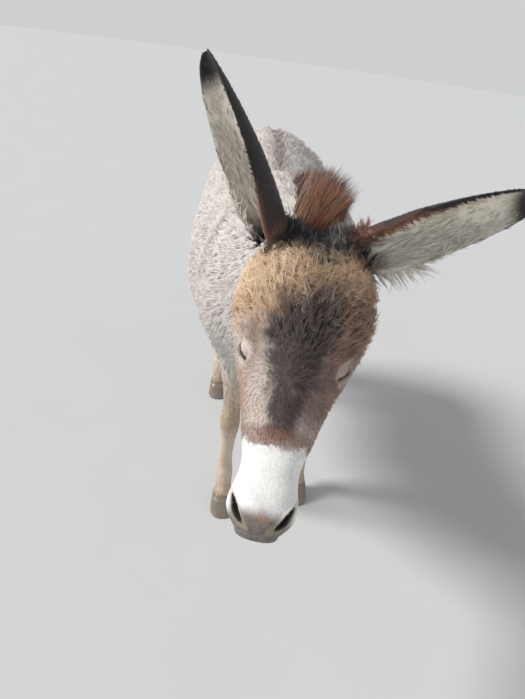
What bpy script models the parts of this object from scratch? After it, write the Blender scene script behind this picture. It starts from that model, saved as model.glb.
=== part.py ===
"""A life-size standing donkey, modelled as a still museum figure.

The animal faces -Y, its left side is towards +X and it stands on z = 0. The body is one smooth form, blended from
lofted masses along the skeleton, and then parted by thin cuts into head, neck, trunk and legs. Ears, eyes, mane,
tail and hooves are solids of their own that meet it. Sizes are metres and reach the tips of the coat.
"""

import math

import bmesh
import bpy
import numpy as np
from mathutils import Matrix, Vector

# Driving sizes.
WITHERS = 1.05  # ground to the top of the shoulder
CROUP = 1.070  # ground to the top of the rump
TRUNK_LENGTH = 1.04  # point of shoulder to point of buttock
CHEST_FRONT = -0.20  # where the trunk starts along Y; the fore hooves stand near y = 0
BARREL_HALF_WIDTH = 0.252
HEAD_LENGTH = 0.50
HEAD_PITCH = math.radians(42.5)  # nose below the horizontal
HEAD_YAW = math.radians(15.5)  # nose turned to the animal's right
HEAD_ROLL = math.radians(4.5)  # left eye lower than the right
POLL = np.array((-0.019, -0.379, 1.060))
EAR_LENGTH = 0.300
EYE_RADIUS = 0.019
EYE_PLACE = (0.208, 0.070, -0.046)  # along the head, across, and out of the forehead line
MANE_LEAN = math.radians(25)
CORONET = 0.054  # height of the top of a hoof
TUFT_TOP = 0.620  # where the tail's long hair starts
GAP = 0.0003  # left between solids that meet
VOXEL = 0.011
BODY_TRIANGLES = 4500
FAR = 0.15  # beyond this a mass has no say in the blend

# Where each foot stands: x, y.
FORE_RIGHT = (-0.097, 0.038)
FORE_LEFT = (0.152, 0.100)
HIND_RIGHT = (-0.106, 0.660)
HIND_LEFT = (0.112, 0.755)

# Coat colours, used for the plain materials.
GREY_COAT = (0.50, 0.45, 0.41)
BROWN_COAT = (0.24, 0.16, 0.11)
DARK_COAT = (0.035, 0.028, 0.026)
RUST_COAT = (0.36, 0.14, 0.05)
HORN = (0.13, 0.11, 0.10)
EYE_BROWN = (0.02, 0.011, 0.007)

X_AXIS = np.array((1.0, 0.0, 0.0))


# ---------------------------------------------------------------- the head's own directions
FORWARD = np.array(
    (
        -math.sin(HEAD_YAW) * math.cos(HEAD_PITCH),
        -math.cos(HEAD_YAW) * math.cos(HEAD_PITCH),
        -math.sin(HEAD_PITCH),
    )
)
LEVEL_SIDE = np.array((math.cos(HEAD_YAW), -math.sin(HEAD_YAW), 0.0))
LEVEL_BROW = np.cross(LEVEL_SIDE, -FORWARD)
HEAD_SIDE = math.cos(HEAD_ROLL) * LEVEL_SIDE - math.sin(HEAD_ROLL) * LEVEL_BROW
BROW = math.cos(HEAD_ROLL) * LEVEL_BROW + math.sin(HEAD_ROLL) * LEVEL_SIDE


def on_head(along, across, out):
    """A point by its distance from the poll towards the nose, to the left side, and out of the forehead."""
    along, across, out = (np.asarray(v, float)[..., None] for v in (along, across, out))
    return POLL + along * FORWARD + across * HEAD_SIDE + out * BROW


# ---------------------------------------------------------------- masses and how they blend
def through(knots, count):
    """Rows read evenly from a Catmull-Rom curve through the rows of knots."""
    knots = np.asarray(knots, float)
    last = len(knots) - 1
    t = np.linspace(0, last, count)
    i = np.clip(t.astype(int), 0, last - 1)
    f = (t - i)[:, None]
    before, start, end, after = (knots[np.clip(i + k, 0, last)] for k in (-1, 0, 1, 2))
    return 0.5 * (
        2 * start
        + (end - before) * f
        + (2 * before - 5 * start + 4 * end - after) * f**2
        + (3 * start - before - 3 * end + after) * f**3
    )


class Mass:
    """A superelliptic body carried along a curve.

    Each row of rows is x, y, z, half width, reach on the upper side and reach on the lower side. Upper is the side
    cross product with the curve's direction. pear narrows the upper side and widens the lower one.
    """

    def __init__(self, rows, side=X_AXIS, power=2.0, blend=0.03, pear=0.0, caps=(0.02, 0.02), samples=28):
        self.rows = through(rows, samples)
        self.power, self.blend, self.pear, self.caps = power, blend, pear, caps
        self.side = np.asarray(side, float)
        self.direction = np.gradient(self.rows[:, :3], axis=0)
        self.direction /= np.linalg.norm(self.direction, axis=1)[:, None]

    def frame(self, place):
        """Direction, side and upper vector at fractional sample numbers."""
        numbers = np.arange(len(self.rows))
        direction = np.stack([np.interp(place, numbers, self.direction[:, k]) for k in range(3)], 1)
        direction /= np.linalg.norm(direction, axis=1)[:, None]
        side = self.side - (direction @ self.side)[:, None] * direction
        side /= np.linalg.norm(side, axis=1)[:, None]
        return direction, side, np.cross(side, direction)

    def distance(self, points):
        """Roughly the signed distance from each point to the mass's surface, negative inside."""
        reach = self.rows[:, 3:].max() + FAR
        low, high = self.rows[:, :3].min(0) - reach, self.rows[:, :3].max(0) + reach
        near = np.all((points > low) & (points < high), axis=1)
        found = np.full(len(points), FAR)
        if near.any():
            found[near] = self.near_distance(points[near])
        return found

    def near_distance(self, points):
        centres = self.rows[:, :3]
        nearest, place = np.full(len(points), np.inf), np.zeros(len(points))
        for i in range(len(centres) - 1):
            run = centres[i + 1] - centres[i]
            t = np.clip((points - centres[i]) @ run / (run @ run), 0, 1)
            gap = ((points - centres[i] - t[:, None] * run) ** 2).sum(1)
            closer = gap < nearest
            nearest[closer], place[closer] = gap[closer], i + t[closer]
        numbers = np.arange(len(centres))
        row = np.stack([np.interp(place, numbers, column) for column in self.rows.T], 1)
        direction, side, upper = self.frame(place)
        offset = points - row[:, :3]
        across, height, past = ((offset * v).sum(1) for v in (side, upper, direction))
        reach = np.where(height > 0, row[:, 4], row[:, 5])
        lean = np.clip(height / reach, -1, 1)
        width = row[:, 3] * (1 - self.pear * lean)
        cap = np.where(place < 1, self.caps[0], self.caps[1])
        past = np.where((place <= 0) | (place >= len(centres) - 1), past, 0.0)
        share = (
            np.abs(across / width) ** self.power
            + np.abs(height / reach) ** self.power
            + np.abs(past / cap) ** self.power
        ) ** (1 / self.power)
        far = np.linalg.norm(offset, axis=1)
        return far * (1 - 1 / np.maximum(share, 1e-6))

    def shell(self, around=20):
        """Points and quads of a plain closed tube of the mass, for the remesh to start from."""
        place = np.linspace(0, len(self.rows) - 1, len(self.rows))
        _, side, upper = self.frame(place)
        turn = np.linspace(0, 2 * math.pi, around, endpoint=False)
        c, s = np.cos(turn), np.sin(turn)
        rows = self.rows
        reach = np.where(s[None, :] > 0, rows[:, 4:5], rows[:, 5:6])
        points = (
            rows[:, None, :3]
            + (rows[:, 3:4] * c)[..., None] * side[:, None]
            + (reach * s)[..., None] * upper[:, None]
        )
        return points.reshape(-1, 3), len(rows), around


def blended(first, second, width):
    """Smooth minimum of two distances: the surfaces flow into each other over about this width."""
    share = np.clip(0.5 + 0.5 * (second - first) / width, 0, 1)
    return second * (1 - share) + first * share - width * share * (1 - share)


class Swelling:
    """A soft bump, or with a negative height a hollow, at a place with radii along three directions."""

    def __init__(self, centre, radii, height, axes):
        self.centre, self.radii, self.height = np.asarray(centre, float), np.asarray(radii, float), height
        self.axes = np.asarray(axes, float)

    def at(self, points):
        offset = (points - self.centre) @ self.axes.T / self.radii
        return self.height * np.exp(-(offset**2).sum(1))


def body_distance(points, masses, swellings):
    total = masses[0].distance(points)
    for mass in masses[1:]:
        total = blended(total, mass.distance(points), mass.blend)
    for swelling in swellings:
        total -= swelling.at(points)
    return total


# ---------------------------------------------------------------- the animal's masses
def trunk():
    """Barrel from the point of the shoulder to the buttock: top line, bottom line and half width by station."""
    stations = (  # share of the length, top, bottom, half width
        (0.00, 0.880, 0.690, 0.090),
        (0.07, 0.960, 0.610, 0.146),
        (0.15, 1.020, 0.565, 0.190),
        (0.24, WITHERS, 0.545, 0.213),
        (0.36, WITHERS - 0.030, 0.525, 0.234),
        (0.50, WITHERS - 0.045, 0.508, BARREL_HALF_WIDTH),
        (0.62, WITHERS - 0.032, 0.520, 0.250),
        (0.74, WITHERS + 0.004, 0.570, 0.236),
        (0.84, CROUP, 0.630, 0.216),
        (0.93, CROUP - 0.038, 0.670, 0.184),
        (1.00, CROUP - 0.110, 0.730, 0.130),
    )
    rows = []
    for share, top, bottom, half_width in stations:
        middle, reach = (top + bottom) / 2, (top - bottom) / 2
        rows.append((0.0, CHEST_FRONT + share * TRUNK_LENGTH, middle, half_width, reach, reach))
    return Mass(rows, power=2.2, pear=0.19, caps=(0.05, 0.045), samples=40)


def neck():
    """From inside the skull's back to the shoulder, deep and narrow, with the crest above."""
    throat = on_head(0.080, 0.0, -0.085)
    rows = (
        (*throat, 0.075, 0.080, 0.100),
        (-0.021, -0.290, 0.950, 0.078, 0.100, 0.120),
        (-0.018, -0.190, 0.922, 0.098, 0.120, 0.150),
        (-0.008, -0.080, 0.895, 0.132, 0.142, 0.180),
        (0.000, 0.030, 0.870, 0.158, 0.168, 0.200),
        (0.000, 0.140, 0.860, 0.160, 0.165, 0.195),
    )
    return Mass(rows, power=2.1, blend=0.075, pear=0.22)


def skull():
    """The head's core from the lips back to the nape."""
    stations = (  # along, middle's place under the forehead line, half width, reach up, reach down
        (0.484, -0.063, 0.035, 0.031, 0.034),
        (0.462, -0.060, 0.0475, 0.045, 0.044),
        (0.430, -0.058, 0.0520, 0.051, 0.050),
        (0.385, -0.058, 0.0480, 0.053, 0.053),
        (0.340, -0.062, 0.0600, 0.058, 0.058),
        (0.300, -0.064, 0.0700, 0.061, 0.066),
        (0.255, -0.067, 0.0840, 0.066, 0.080),
        (0.205, -0.072, 0.1060, 0.074, 0.098),
        (0.150, -0.078, 0.1240, 0.088, 0.112),
        (0.095, -0.080, 0.1260, 0.096, 0.110),
        (0.045, -0.082, 0.1150, 0.092, 0.092),
        (0.000, -0.084, 0.0780, 0.074, 0.070),
    )
    rows = [
        (*on_head(along, 0.0, middle), half_width, up, down)
        for along, middle, half_width, up, down in stations
    ]
    return Mass(rows, side=HEAD_SIDE, power=2.3, pear=-0.06, blend=0.04, caps=(0.014, 0.03), samples=44)


def lower_jaw():
    """Chin and lower lip, a little shorter than the upper one, back to the cheeks."""
    stations = (
        (0.458, -0.108, 0.026, 0.022, 0.022),
        (0.430, -0.114, 0.034, 0.030, 0.027),
        (0.380, -0.114, 0.033, 0.030, 0.026),
        (0.310, -0.124, 0.036, 0.034, 0.026),
        (0.220, -0.146, 0.048, 0.044, 0.034),
        (0.140, -0.160, 0.060, 0.054, 0.044),
        (0.075, -0.150, 0.060, 0.060, 0.045),
    )
    rows = [
        (*on_head(along, 0.0, middle), half_width, up, down)
        for along, middle, half_width, up, down in stations
    ]
    return Mass(rows, side=HEAD_SIDE, power=2.2, blend=0.016, caps=(0.012, 0.03))


def cheek(side):
    """The round jaw muscle at one side of the head."""
    rows = [
        (*on_head(along, side * across, out), 0.040, up, down)
        for along, across, out, up, down in (
            (0.080, 0.066, -0.112, 0.050, 0.050),
            (0.120, 0.072, -0.120, 0.064, 0.064),
            (0.170, 0.062, -0.118, 0.052, 0.054),
        )
    ]
    return Mass(rows, side=HEAD_SIDE, power=2.0, blend=0.03, caps=(0.04, 0.05), samples=14)


def ear_root(base, axis):
    """The swollen foot of an ear, solid, on the skull."""
    top = base + 0.022 * axis
    foot = base - 0.030 * axis
    rows = [(*(foot + (top - foot) * t), r, r, r) for t, r in ((0, 0.036), (0.5, 0.034), (1, 0.024))]
    return Mass(rows, side=FORWARD, power=2.0, blend=0.036, caps=(0.02, 0.016), samples=10)


def fore_leg(side, foot):
    """Shoulder blade to coronet; the foot's place moves the lower leg and the shoulder stays."""
    x, y = foot
    rows = (
        (side * 0.080, 0.060, 0.900, 0.045, 0.085, 0.090),
        (side * 0.118, 0.025, 0.790, 0.058, 0.095, 0.105),
        (side * 0.132, 0.015 + 0.2 * y, 0.690, 0.062, 0.088, 0.085),
        (side * 0.124, 0.028 + 0.4 * y, 0.610, 0.056, 0.066, 0.062),
        (0.3 * side * 0.12 + 0.7 * x, 0.020 + 0.6 * y, 0.530, 0.044, 0.050, 0.048),
        (x, 0.010 + 0.8 * y, 0.440, 0.035, 0.039, 0.038),
        (x, 0.004 + 0.9 * y, 0.370, 0.031, 0.034, 0.033),
        (x, 0.000 + y, 0.322, 0.034, 0.035, 0.037),
        (x, 0.004 + y, 0.270, 0.027, 0.030, 0.029),
        (x, 0.008 + y, 0.200, 0.0225, 0.028, 0.025),
        (x, 0.010 + y, 0.155, 0.024, 0.030, 0.026),
        (x, 0.006 + y, 0.122, 0.029, 0.034, 0.031),
        (x, -0.010 + y, 0.085, 0.0265, 0.028, 0.027),
        (x, -0.022 + y, CORONET, 0.031, 0.034, 0.034),
        (x, -0.030 + y, CORONET - 0.03, 0.031, 0.034, 0.034),
    )
    return Mass(rows, power=2.1, blend=0.045, caps=(0.05, 0.03), samples=44)


def hind_leg(side, foot):
    """Croup to coronet, with the thigh's flat muscle, the stifle, the hock and the cannon."""
    x, y = foot
    rows = (
        (side * 0.085, 0.740, 0.930, 0.070, 0.090, 0.130),
        (side * 0.112, 0.725, 0.830, 0.084, 0.110, 0.150),
        (side * 0.122, 0.700, 0.730, 0.078, 0.128, 0.135),
        (side * 0.124, 0.40 + 0.45 * y, 0.640, 0.064, 0.110, 0.112),
        (side * 0.122, 0.22 + 0.72 * y, 0.560, 0.050, 0.082, 0.078),
        (x, 0.052 + y, 0.490, 0.037, 0.054, 0.050),
        (x, 0.072 + y, 0.425, 0.033, 0.046, 0.038),
        (x, 0.064 + y, 0.365, 0.030, 0.036, 0.035),
        (x, 0.052 + y, 0.290, 0.0245, 0.029, 0.028),
        (x, 0.044 + y, 0.210, 0.0235, 0.028, 0.027),
        (x, 0.040 + y, 0.160, 0.025, 0.031, 0.028),
        (x, 0.030 + y, 0.125, 0.0295, 0.035, 0.032),
        (x, 0.006 + y, 0.085, 0.0265, 0.029, 0.028),
        (x, -0.010 + y, CORONET, 0.031, 0.035, 0.034),
        (x, -0.018 + y, CORONET - 0.03, 0.031, 0.035, 0.034),
    )
    return Mass(rows, power=2.1, blend=0.05, caps=(0.06, 0.03), samples=44)


def head_swellings():
    """Brows, eye sockets, nostril rims, the forehead's curly cushion, and the groove between the lips."""
    axes = (FORWARD, HEAD_SIDE, BROW)
    found = [
        Swelling(on_head(0.060, 0, 0.010), (0.060, 0.080, 0.050), 0.010, axes),
        Swelling(on_head(0.300, 0, -0.005), (0.060, 0.030, 0.030), 0.003, axes),
        Swelling(on_head(0.435, 0, -0.140), (0.022, 0.025, 0.020), 0.006, axes),
    ]
    for side in (-1, 1):
        found += [
            Swelling(on_head(0.193, side * 0.082, -0.018), (0.034, 0.026, 0.018), 0.008, axes),
            Swelling(on_head(0.210, side * 0.090, -0.036), (0.026, 0.022, 0.019), -0.013, axes),
            Swelling(on_head(0.165, side * 0.106, -0.045), (0.022, 0.022, 0.018), -0.006, axes),
            Swelling(on_head(0.262, side * 0.078, -0.082), (0.060, 0.020, 0.016), 0.004, axes),
            Swelling(on_head(0.452, side * 0.050, -0.050), (0.024, 0.018, 0.026), 0.007, axes),
            Swelling(on_head(0.460, side * 0.047, -0.052), (0.019, 0.010, 0.010), -0.018, axes),
            Swelling(on_head(0.400, side * 0.046, -0.096), (0.040, 0.020, 0.007), -0.004, axes),
        ]
    return found


def trunk_swellings():
    """Breast muscle, elbow, the hollow of the flank, hip bones, and the hollow before the withers."""
    axes = np.eye(3)
    found = [Swelling((0, CHEST_FRONT - 0.01, 0.74), (0.07, 0.06, 0.08), 0.010, axes)]
    for side in (-1, 1):
        found += [
            Swelling((side * 0.17, 0.60, 0.72), (0.05, 0.07, 0.10), -0.012, axes),
            Swelling((side * 0.16, 0.60, 0.985), (0.05, 0.05, 0.04), 0.012, axes),
            Swelling((side * 0.13, 0.10, 0.60), (0.05, 0.035, 0.035), 0.008, axes),
        ]
    return found


# ---------------------------------------------------------------- ears
class Ear:
    """A long leaf rolled into a trough: its base, its direction, the way its opening faces, and its sizes."""

    SHARE = (0.00, 0.12, 0.30, 0.50, 0.68, 0.82, 0.92, 0.975, 1.0)
    HALF_WIDTH = (0.080, 0.084, 0.083, 0.075, 0.062, 0.049, 0.037, 0.028, 0.018)
    HALF_ROLL = (150, 128, 98, 84, 74, 66, 58, 50, 45)  # degrees from the spine to an edge
    WALL = (0.012, 0.011, 0.009, 0.008, 0.008, 0.007, 0.006, 0.005, 0.004)

    def __init__(self, base, axis, opening, length=EAR_LENGTH, broad=1.0, rolled=(1.0, 1.0), bow=0.010):
        self.base = np.asarray(base, float)
        self.axis = np.asarray(axis, float) / np.linalg.norm(axis)
        self.length = length
        opening = np.asarray(opening, float)
        opening = opening - (opening @ self.axis) * self.axis
        self.opening = opening / np.linalg.norm(opening)
        self.across = np.cross(self.axis, self.opening)
        self.bow, self.broad, self.rolled = bow, broad, rolled

    def point(self, share, turn, inset):
        """A point by its share of the length, its turn from the spine (-1 to 1) and its depth into the wall."""
        width = self.broad * np.interp(share, self.SHARE, self.HALF_WIDTH)
        roll = np.radians(np.interp(share, self.SHARE, self.HALF_ROLL))
        roll = roll * np.interp(share, (0.0, 0.5), self.rolled)
        radius = width / roll
        angle = turn * roll
        spine = (
            self.base
            + (share * self.length)[..., None] * self.axis
            - (self.bow * np.sin(math.pi * share))[..., None] * self.opening
        )
        inner = radius - inset
        centre = spine + radius[..., None] * self.opening
        return centre + (inner * np.sin(angle))[..., None] * self.across - (inner * np.cos(angle))[..., None] * self.opening

    def wall(self, share):
        return np.interp(share, self.SHARE, self.WALL)


def ear_object(name, ear, material, rows=14, columns=9):
    """The trough as a closed solid: its back and its inner face share rounded edges."""
    share = 1 - (1 - np.linspace(0, 1, rows)) ** 1.35
    turn = np.linspace(-1, 1, columns)
    s, t = np.meshgrid(share, turn, indexing="ij")
    wall = ear.wall(s)
    rim = np.sqrt(np.clip(1 - np.abs(t) ** 6, 0, 1))
    back = ear.point(s, t, wall * 0.5 * (1 - rim))
    front = ear.point(s, t[:, ::-1], wall * (1 - 0.5 * (1 - rim)))[:, 1:-1]
    ring = np.concatenate([back, front], axis=1)
    return tube_object(name, ring, material)


# ---------------------------------------------------------------- making objects
def material(name, colour, roughness):
    made = bpy.data.materials.new(name)
    made.use_nodes = True
    shader = made.node_tree.nodes["Principled BSDF"]
    shader.inputs["Base Color"].default_value = (*colour, 1.0)
    shader.inputs["Roughness"].default_value = roughness
    return made


def object_of(mesh, name, collection, finish=None):
    made = bpy.data.objects.new(name, mesh)
    collection.objects.link(made)
    if finish:
        mesh.materials.clear()
        mesh.materials.append(finish)
    return made


def mesh_of(name, points, faces):
    mesh = bpy.data.meshes.new(name)
    mesh.from_pydata([tuple(p) for p in points], [], faces)
    shape = bmesh.new()
    shape.from_mesh(mesh)
    bmesh.ops.remove_doubles(shape, verts=shape.verts, dist=1e-6)
    bmesh.ops.recalc_face_normals(shape, faces=shape.faces)
    shape.to_mesh(mesh)
    shape.free()
    return mesh


def tube_faces(rows, around):
    """Quads of a closed tube of rings, with a cap at each end."""
    faces = []
    for i in range(rows - 1):
        for j in range(around):
            k = (j + 1) % around
            faces.append((i * around + j, i * around + k, (i + 1) * around + k, (i + 1) * around + j))
    faces.append(tuple(range(around))[::-1])
    faces.append(tuple((rows - 1) * around + j for j in range(around)))
    return faces


def tube_object(name, rings, finish):
    rows, around = rings.shape[:2]
    mesh = mesh_of(name, rings.reshape(-1, 3), tube_faces(rows, around))
    return object_of(mesh, name, PARTS, finish)


def evaluated(made):
    """A new mesh holding what the object's modifiers make of it."""
    graph = bpy.context.evaluated_depsgraph_get()
    return bpy.data.meshes.new_from_object(made.evaluated_get(graph))


def positions(mesh):
    flat = np.empty(len(mesh.vertices) * 3, np.float32)
    mesh.vertices.foreach_get("co", flat)
    return flat.reshape(-1, 3).astype(float)


def normals(mesh):
    flat = np.empty(len(mesh.vertices) * 3, np.float32)
    mesh.vertex_normals.foreach_get("vector", flat)
    return flat.reshape(-1, 3).astype(float)


def towards_neighbours(mesh, points):
    """For each vertex, the way to the average of its neighbours."""
    ends = np.empty(len(mesh.edges) * 2, np.int32)
    mesh.edges.foreach_get("vertices", ends)
    first, second = ends.reshape(-1, 2).T
    count = np.bincount(ends, minlength=len(points))
    total = [
        np.bincount(first, points[second, k], len(points)) + np.bincount(second, points[first, k], len(points))
        for k in range(3)
    ]
    return np.stack(total, axis=1) / count[:, None] - points


def settle(mesh, distance, rounds, probe=0.002):
    """Moves each vertex up or down the distance's slope, by Newton's rule, to where the distance is zero.

    Each round also evens out the vertices: the first ones freely, the later ones along the surface only.
    """
    for number in range(rounds):
        points = positions(mesh)
        here = distance(points)
        slope = np.stack([distance(points + probe * axis) - here for axis in np.eye(3)], axis=1) / probe
        steepness = (slope**2).sum(1)[:, None]
        step = here[:, None] * slope / np.maximum(steepness, 0.3)
        length = np.linalg.norm(step, axis=1)[:, None]
        step *= np.minimum(1.0, 0.015 / np.maximum(length, 1e-9))
        slide = 0.5 * towards_neighbours(mesh, points)
        if number >= rounds // 2:
            outward = normals(mesh)
            slide -= (slide * outward).sum(1)[:, None] * outward
        mesh.vertices.foreach_set("co", (points + slide - step).astype(np.float32).ravel())
        mesh.update()


def modified(made, name, kind, **settings):
    """Applies one modifier to the object's mesh."""
    modifier = made.modifiers.new(name, kind)
    for setting, value in settings.items():
        setattr(modifier, setting, value)
    made.data = evaluated(made)
    made.modifiers.clear()


def whole_body(masses, swellings):
    """One closed mesh of all the flesh: tubes are joined by a voxel remesh, settled on the blend, then thinned."""
    points, faces = [], []
    for mass in masses:
        shell, rows, around = mass.shell()
        first = sum(len(p) for p in points)
        points.append(shell)
        faces += [tuple(first + v for v in face) for face in tube_faces(rows, around)]
    made = object_of(mesh_of("rough_body", np.concatenate(points), faces), "whole_body", GUIDES)
    for rounds in (5, 4, 4):
        modified(made, "one skin", "REMESH", mode="VOXEL", voxel_size=VOXEL)
        settle(made.data, lambda p: body_distance(p, masses, swellings), rounds)
    ratio = BODY_TRIANGLES / (2 * len(made.data.polygons))
    modified(made, "fewer faces", "DECIMATE", ratio=ratio)
    made.data.shade_smooth()
    return made


def cut(made, cutter, operation="DIFFERENCE"):
    boolean = made.modifiers.new(cutter.name, "BOOLEAN")
    boolean.operation, boolean.object, boolean.solver = operation, cutter, "EXACT"


def guide_box(name, low, high, grow=0.0):
    """A box between two corners, for cutting, made larger all round by grow."""
    shape = bmesh.new()
    low, high = Vector(low) - Vector((grow,) * 3), Vector(high) + Vector((grow,) * 3)
    size = high - low
    place = Matrix.Translation((low + high) / 2) @ Matrix.Diagonal((*size, 1))
    bmesh.ops.create_cube(shape, size=1.0, matrix=place)
    mesh = bpy.data.meshes.new(name)
    shape.to_mesh(mesh)
    shape.free()
    return guide(mesh, name)


def guide_slab(name, point, normal, grow=0.0):
    """A large box that fills the half space on one side of a plane."""
    normal = Vector(normal).normalized()
    shape = bmesh.new()
    deep = 3.0
    turn = normal.to_track_quat("Z", "Y").to_matrix().to_4x4()
    centre = Vector(point) + normal * (deep / 2 - grow)
    bmesh.ops.create_cube(shape, size=deep, matrix=Matrix.Translation(centre) @ turn)
    mesh = bpy.data.meshes.new(name)
    shape.to_mesh(mesh)
    shape.free()
    return guide(mesh, name)


def guide(mesh, name):
    made = object_of(mesh, name, GUIDES)
    made.hide_render = True
    made.display_type = "WIRE"
    return made


def grown(whole, name, by):
    """A copy of the body pushed out along its normals, to cut what sits on it."""
    mesh = whole.data.copy()
    moved = positions(mesh) + by * normals(mesh)
    mesh.vertices.foreach_set("co", moved.astype(np.float32).ravel())
    return guide(mesh, name)


def cleared():
    for made in list(bpy.data.objects):
        bpy.data.objects.remove(made)


cleared()
PARTS = bpy.data.collections.new("donkey")
GUIDES = bpy.data.collections.new("cutters and guides")
for group in (PARTS, GUIDES):
    bpy.context.scene.collection.children.link(group)
coat = material("grey coat", GREY_COAT, 0.9)
face_coat = material("brown coat", BROWN_COAT, 0.9)
dark_coat = material("dark coat", DARK_COAT, 0.9)
rust_coat = material("rust coat", RUST_COAT, 0.8)
horn = material("hoof horn", HORN, 0.55)
cornea = material("eye", EYE_BROWN, 0.08)

# Ears: the right one stands up and leans out, the left one is held out sideways, open to the front.
EARS = {
    "right": Ear(
        on_head(-0.012, -0.058, -0.022),
        (-0.520, 0.087, 0.850),
        (-0.914, -0.407, 0.0),
        broad=1.12,
    ),
    "left": Ear(
        on_head(-0.012, 0.060, -0.010),
        (0.948, 0.038, 0.326),
        (-0.05, -0.95, -0.30),
        length=EAR_LENGTH + 0.020,
        rolled=(0.70, 0.86),
    ),
}

masses = [
    trunk(),
    neck(),
    skull(),
    lower_jaw(),
    cheek(-1),
    cheek(1),
    ear_root(EARS["right"].base, EARS["right"].axis),
    ear_root(EARS["left"].base, EARS["left"].axis),
    fore_leg(-1, FORE_RIGHT),
    fore_leg(1, FORE_LEFT),
    hind_leg(-1, HIND_RIGHT),
    hind_leg(1, HIND_LEFT),
]
whole = whole_body(masses, head_swellings() + trunk_swellings())
whole.hide_render = True
whole.display_type = "WIRE"


# ---------------------------------------------------------------- hard and hairy pieces that meet the body
def hoof_object(name, middle, finish):
    """A narrow upright hoof: oval rings from the hair line to a flat sole, drawn in at the cleft of the heel."""
    x, y = middle
    rings = []
    turn = np.linspace(0, 2 * math.pi, 20, endpoint=False)
    for height, forward, half_width, front, rear, cleft in (
        (CORONET - GAP, 0.000, 0.0310, 0.0340, 0.0335, 0.03),
        (0.044, -0.006, 0.0325, 0.0370, 0.0350, 0.08),
        (0.024, -0.013, 0.0350, 0.0420, 0.0360, 0.14),
        (0.004, -0.020, 0.0370, 0.0465, 0.0370, 0.18),
        (0.000, -0.020, 0.0355, 0.0450, 0.0355, 0.18),
    ):
        across, along = np.cos(turn), np.sin(turn)
        share = (np.abs(across) ** 2.4 + np.abs(along) ** 2.4) ** (-1 / 2.4)
        share *= 1 - cleft * np.exp(-((across / 0.30) ** 2)) * (along > 0)
        reach = np.where(along > 0, rear, front)
        ring = np.stack(
            [
                x + half_width * share * across,
                y + forward + reach * share * along,
                np.full_like(turn, height),
            ],
            axis=1,
        )
        rings.append(ring)
    return tube_object(name, np.array(rings), finish)


def mane_object(name, finish):
    """An upright blade of hair on the crest, leaning to the left, its top edge broken into tufts."""
    crest = through(
        (  # x, y, z of the crest, then the hair's height
            (-0.031, -0.352, 1.050, 0.060),
            (-0.029, -0.330, 1.050, 0.092),
            (-0.026, -0.290, 1.046, 0.104),
            (-0.018, -0.200, 1.038, 0.108),
            (-0.008, -0.110, 1.032, 0.098),
            (-0.002, -0.030, 1.036, 0.072),
            (0.000, 0.035, 1.044, 0.035),
        ),
        24,
    )
    lean = np.array((math.sin(MANE_LEAN), 0.0, math.cos(MANE_LEAN)))
    rings = []
    for number, (x, y, z, height) in enumerate(crest):
        height = height * (1 + 0.10 * math.sin(2.6 * number) * math.sin(0.9 * number + 1))
        sweep = 0.12 * height
        sections = ((-0.020, 0.016), (0.25, 0.017), (0.60, 0.013), (0.88, 0.007), (1.0, 0.002))
        left = []
        right = []
        for share, half in sections:
            rise = share * height if share > 0 else share
            spine = np.array((x, y + sweep * max(share, 0), z)) + rise * lean
            right.append(spine - half * X_AXIS)
            left.append(spine + half * X_AXIS)
        rings.append(right + left[::-1])
    return tube_object(name, np.array(rings), finish)


def hair_tube(name, rows, finish, around=12, samples=24):
    mass = Mass(rows, samples=samples)
    points, count, around = mass.shell(around)
    return tube_object(name, points.reshape(count, around, 3), finish)


def ball(name, centre, radius, collection, finish=None):
    shape = bmesh.new()
    bmesh.ops.create_uvsphere(
        shape, u_segments=14, v_segments=8, radius=radius, matrix=Matrix.Translation(centre)
    )
    mesh = bpy.data.meshes.new(name)
    shape.to_mesh(mesh)
    shape.free()
    return object_of(mesh, name, collection, finish)


def body_part(name, finish, inside, outside):
    """The share of the body within all the guides of inside and out of all those of outside."""
    made = object_of(whole.data.copy(), name, PARTS, finish)
    for other in inside:
        cut(made, other, "INTERSECT")
    for other in outside:
        cut(made, other)
    return made


def wedge(name, x_range, y_range, top, grow=0.0):
    """An upright block from below the ground up to a top that slopes between two heights along Y."""
    (left, right), (front, rear), (top_front, top_rear) = x_range, y_range, top
    left, front, right, rear = left - grow, front - grow, right + grow, rear + grow
    points = [(x, y, -0.1) for x, y in ((left, front), (right, front), (right, rear), (left, rear))]
    points += [
        (left, front, top_front + grow),
        (right, front, top_front + grow),
        (right, rear, top_rear + grow),
        (left, rear, top_rear + grow),
    ]
    faces = [(0, 3, 2, 1), (4, 5, 6, 7), (0, 1, 5, 4), (1, 2, 6, 5), (2, 3, 7, 6), (3, 0, 4, 7)]
    return guide(mesh_of(name, points, faces), name)


below_coronet = guide_box("below the hair line", (-1, -1, -1), (1, 2, CORONET))
nape = on_head(-0.075, 0.0, 0.000)
jaw_back = on_head(0.050, 0.0, -0.200)
head_normal = np.cross(jaw_back - nape, X_AXIS)
head_normal = head_normal if head_normal @ FORWARD > 0 else -head_normal
head_region = guide_slab("head region", nape, head_normal)
head_region_grown = guide_slab("head region grown", nape, head_normal, GAP)
neck_foot = np.array((0.0, -0.030, WITHERS))
breast = np.array((0.0, -0.265, 0.770))
neck_normal = np.cross(breast - neck_foot, X_AXIS)
neck_normal = neck_normal if neck_normal[1] < 0 else -neck_normal
neck_region = guide_slab("neck region", neck_foot, neck_normal)
neck_region_grown = guide_slab("neck region grown", neck_foot, neck_normal, GAP)
FORE_SIDES, FORE_LENGTH, FORE_TOP = (0.040, 0.40), (-0.110, 0.200), (0.610, 0.530)
HIND_SIDES, HIND_LENGTH, HIND_TOP = (GAP, 0.40), (0.50, 1.10), (0.575, 0.850)


def mirrored(span):
    return (-span[1], -span[0])


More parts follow.
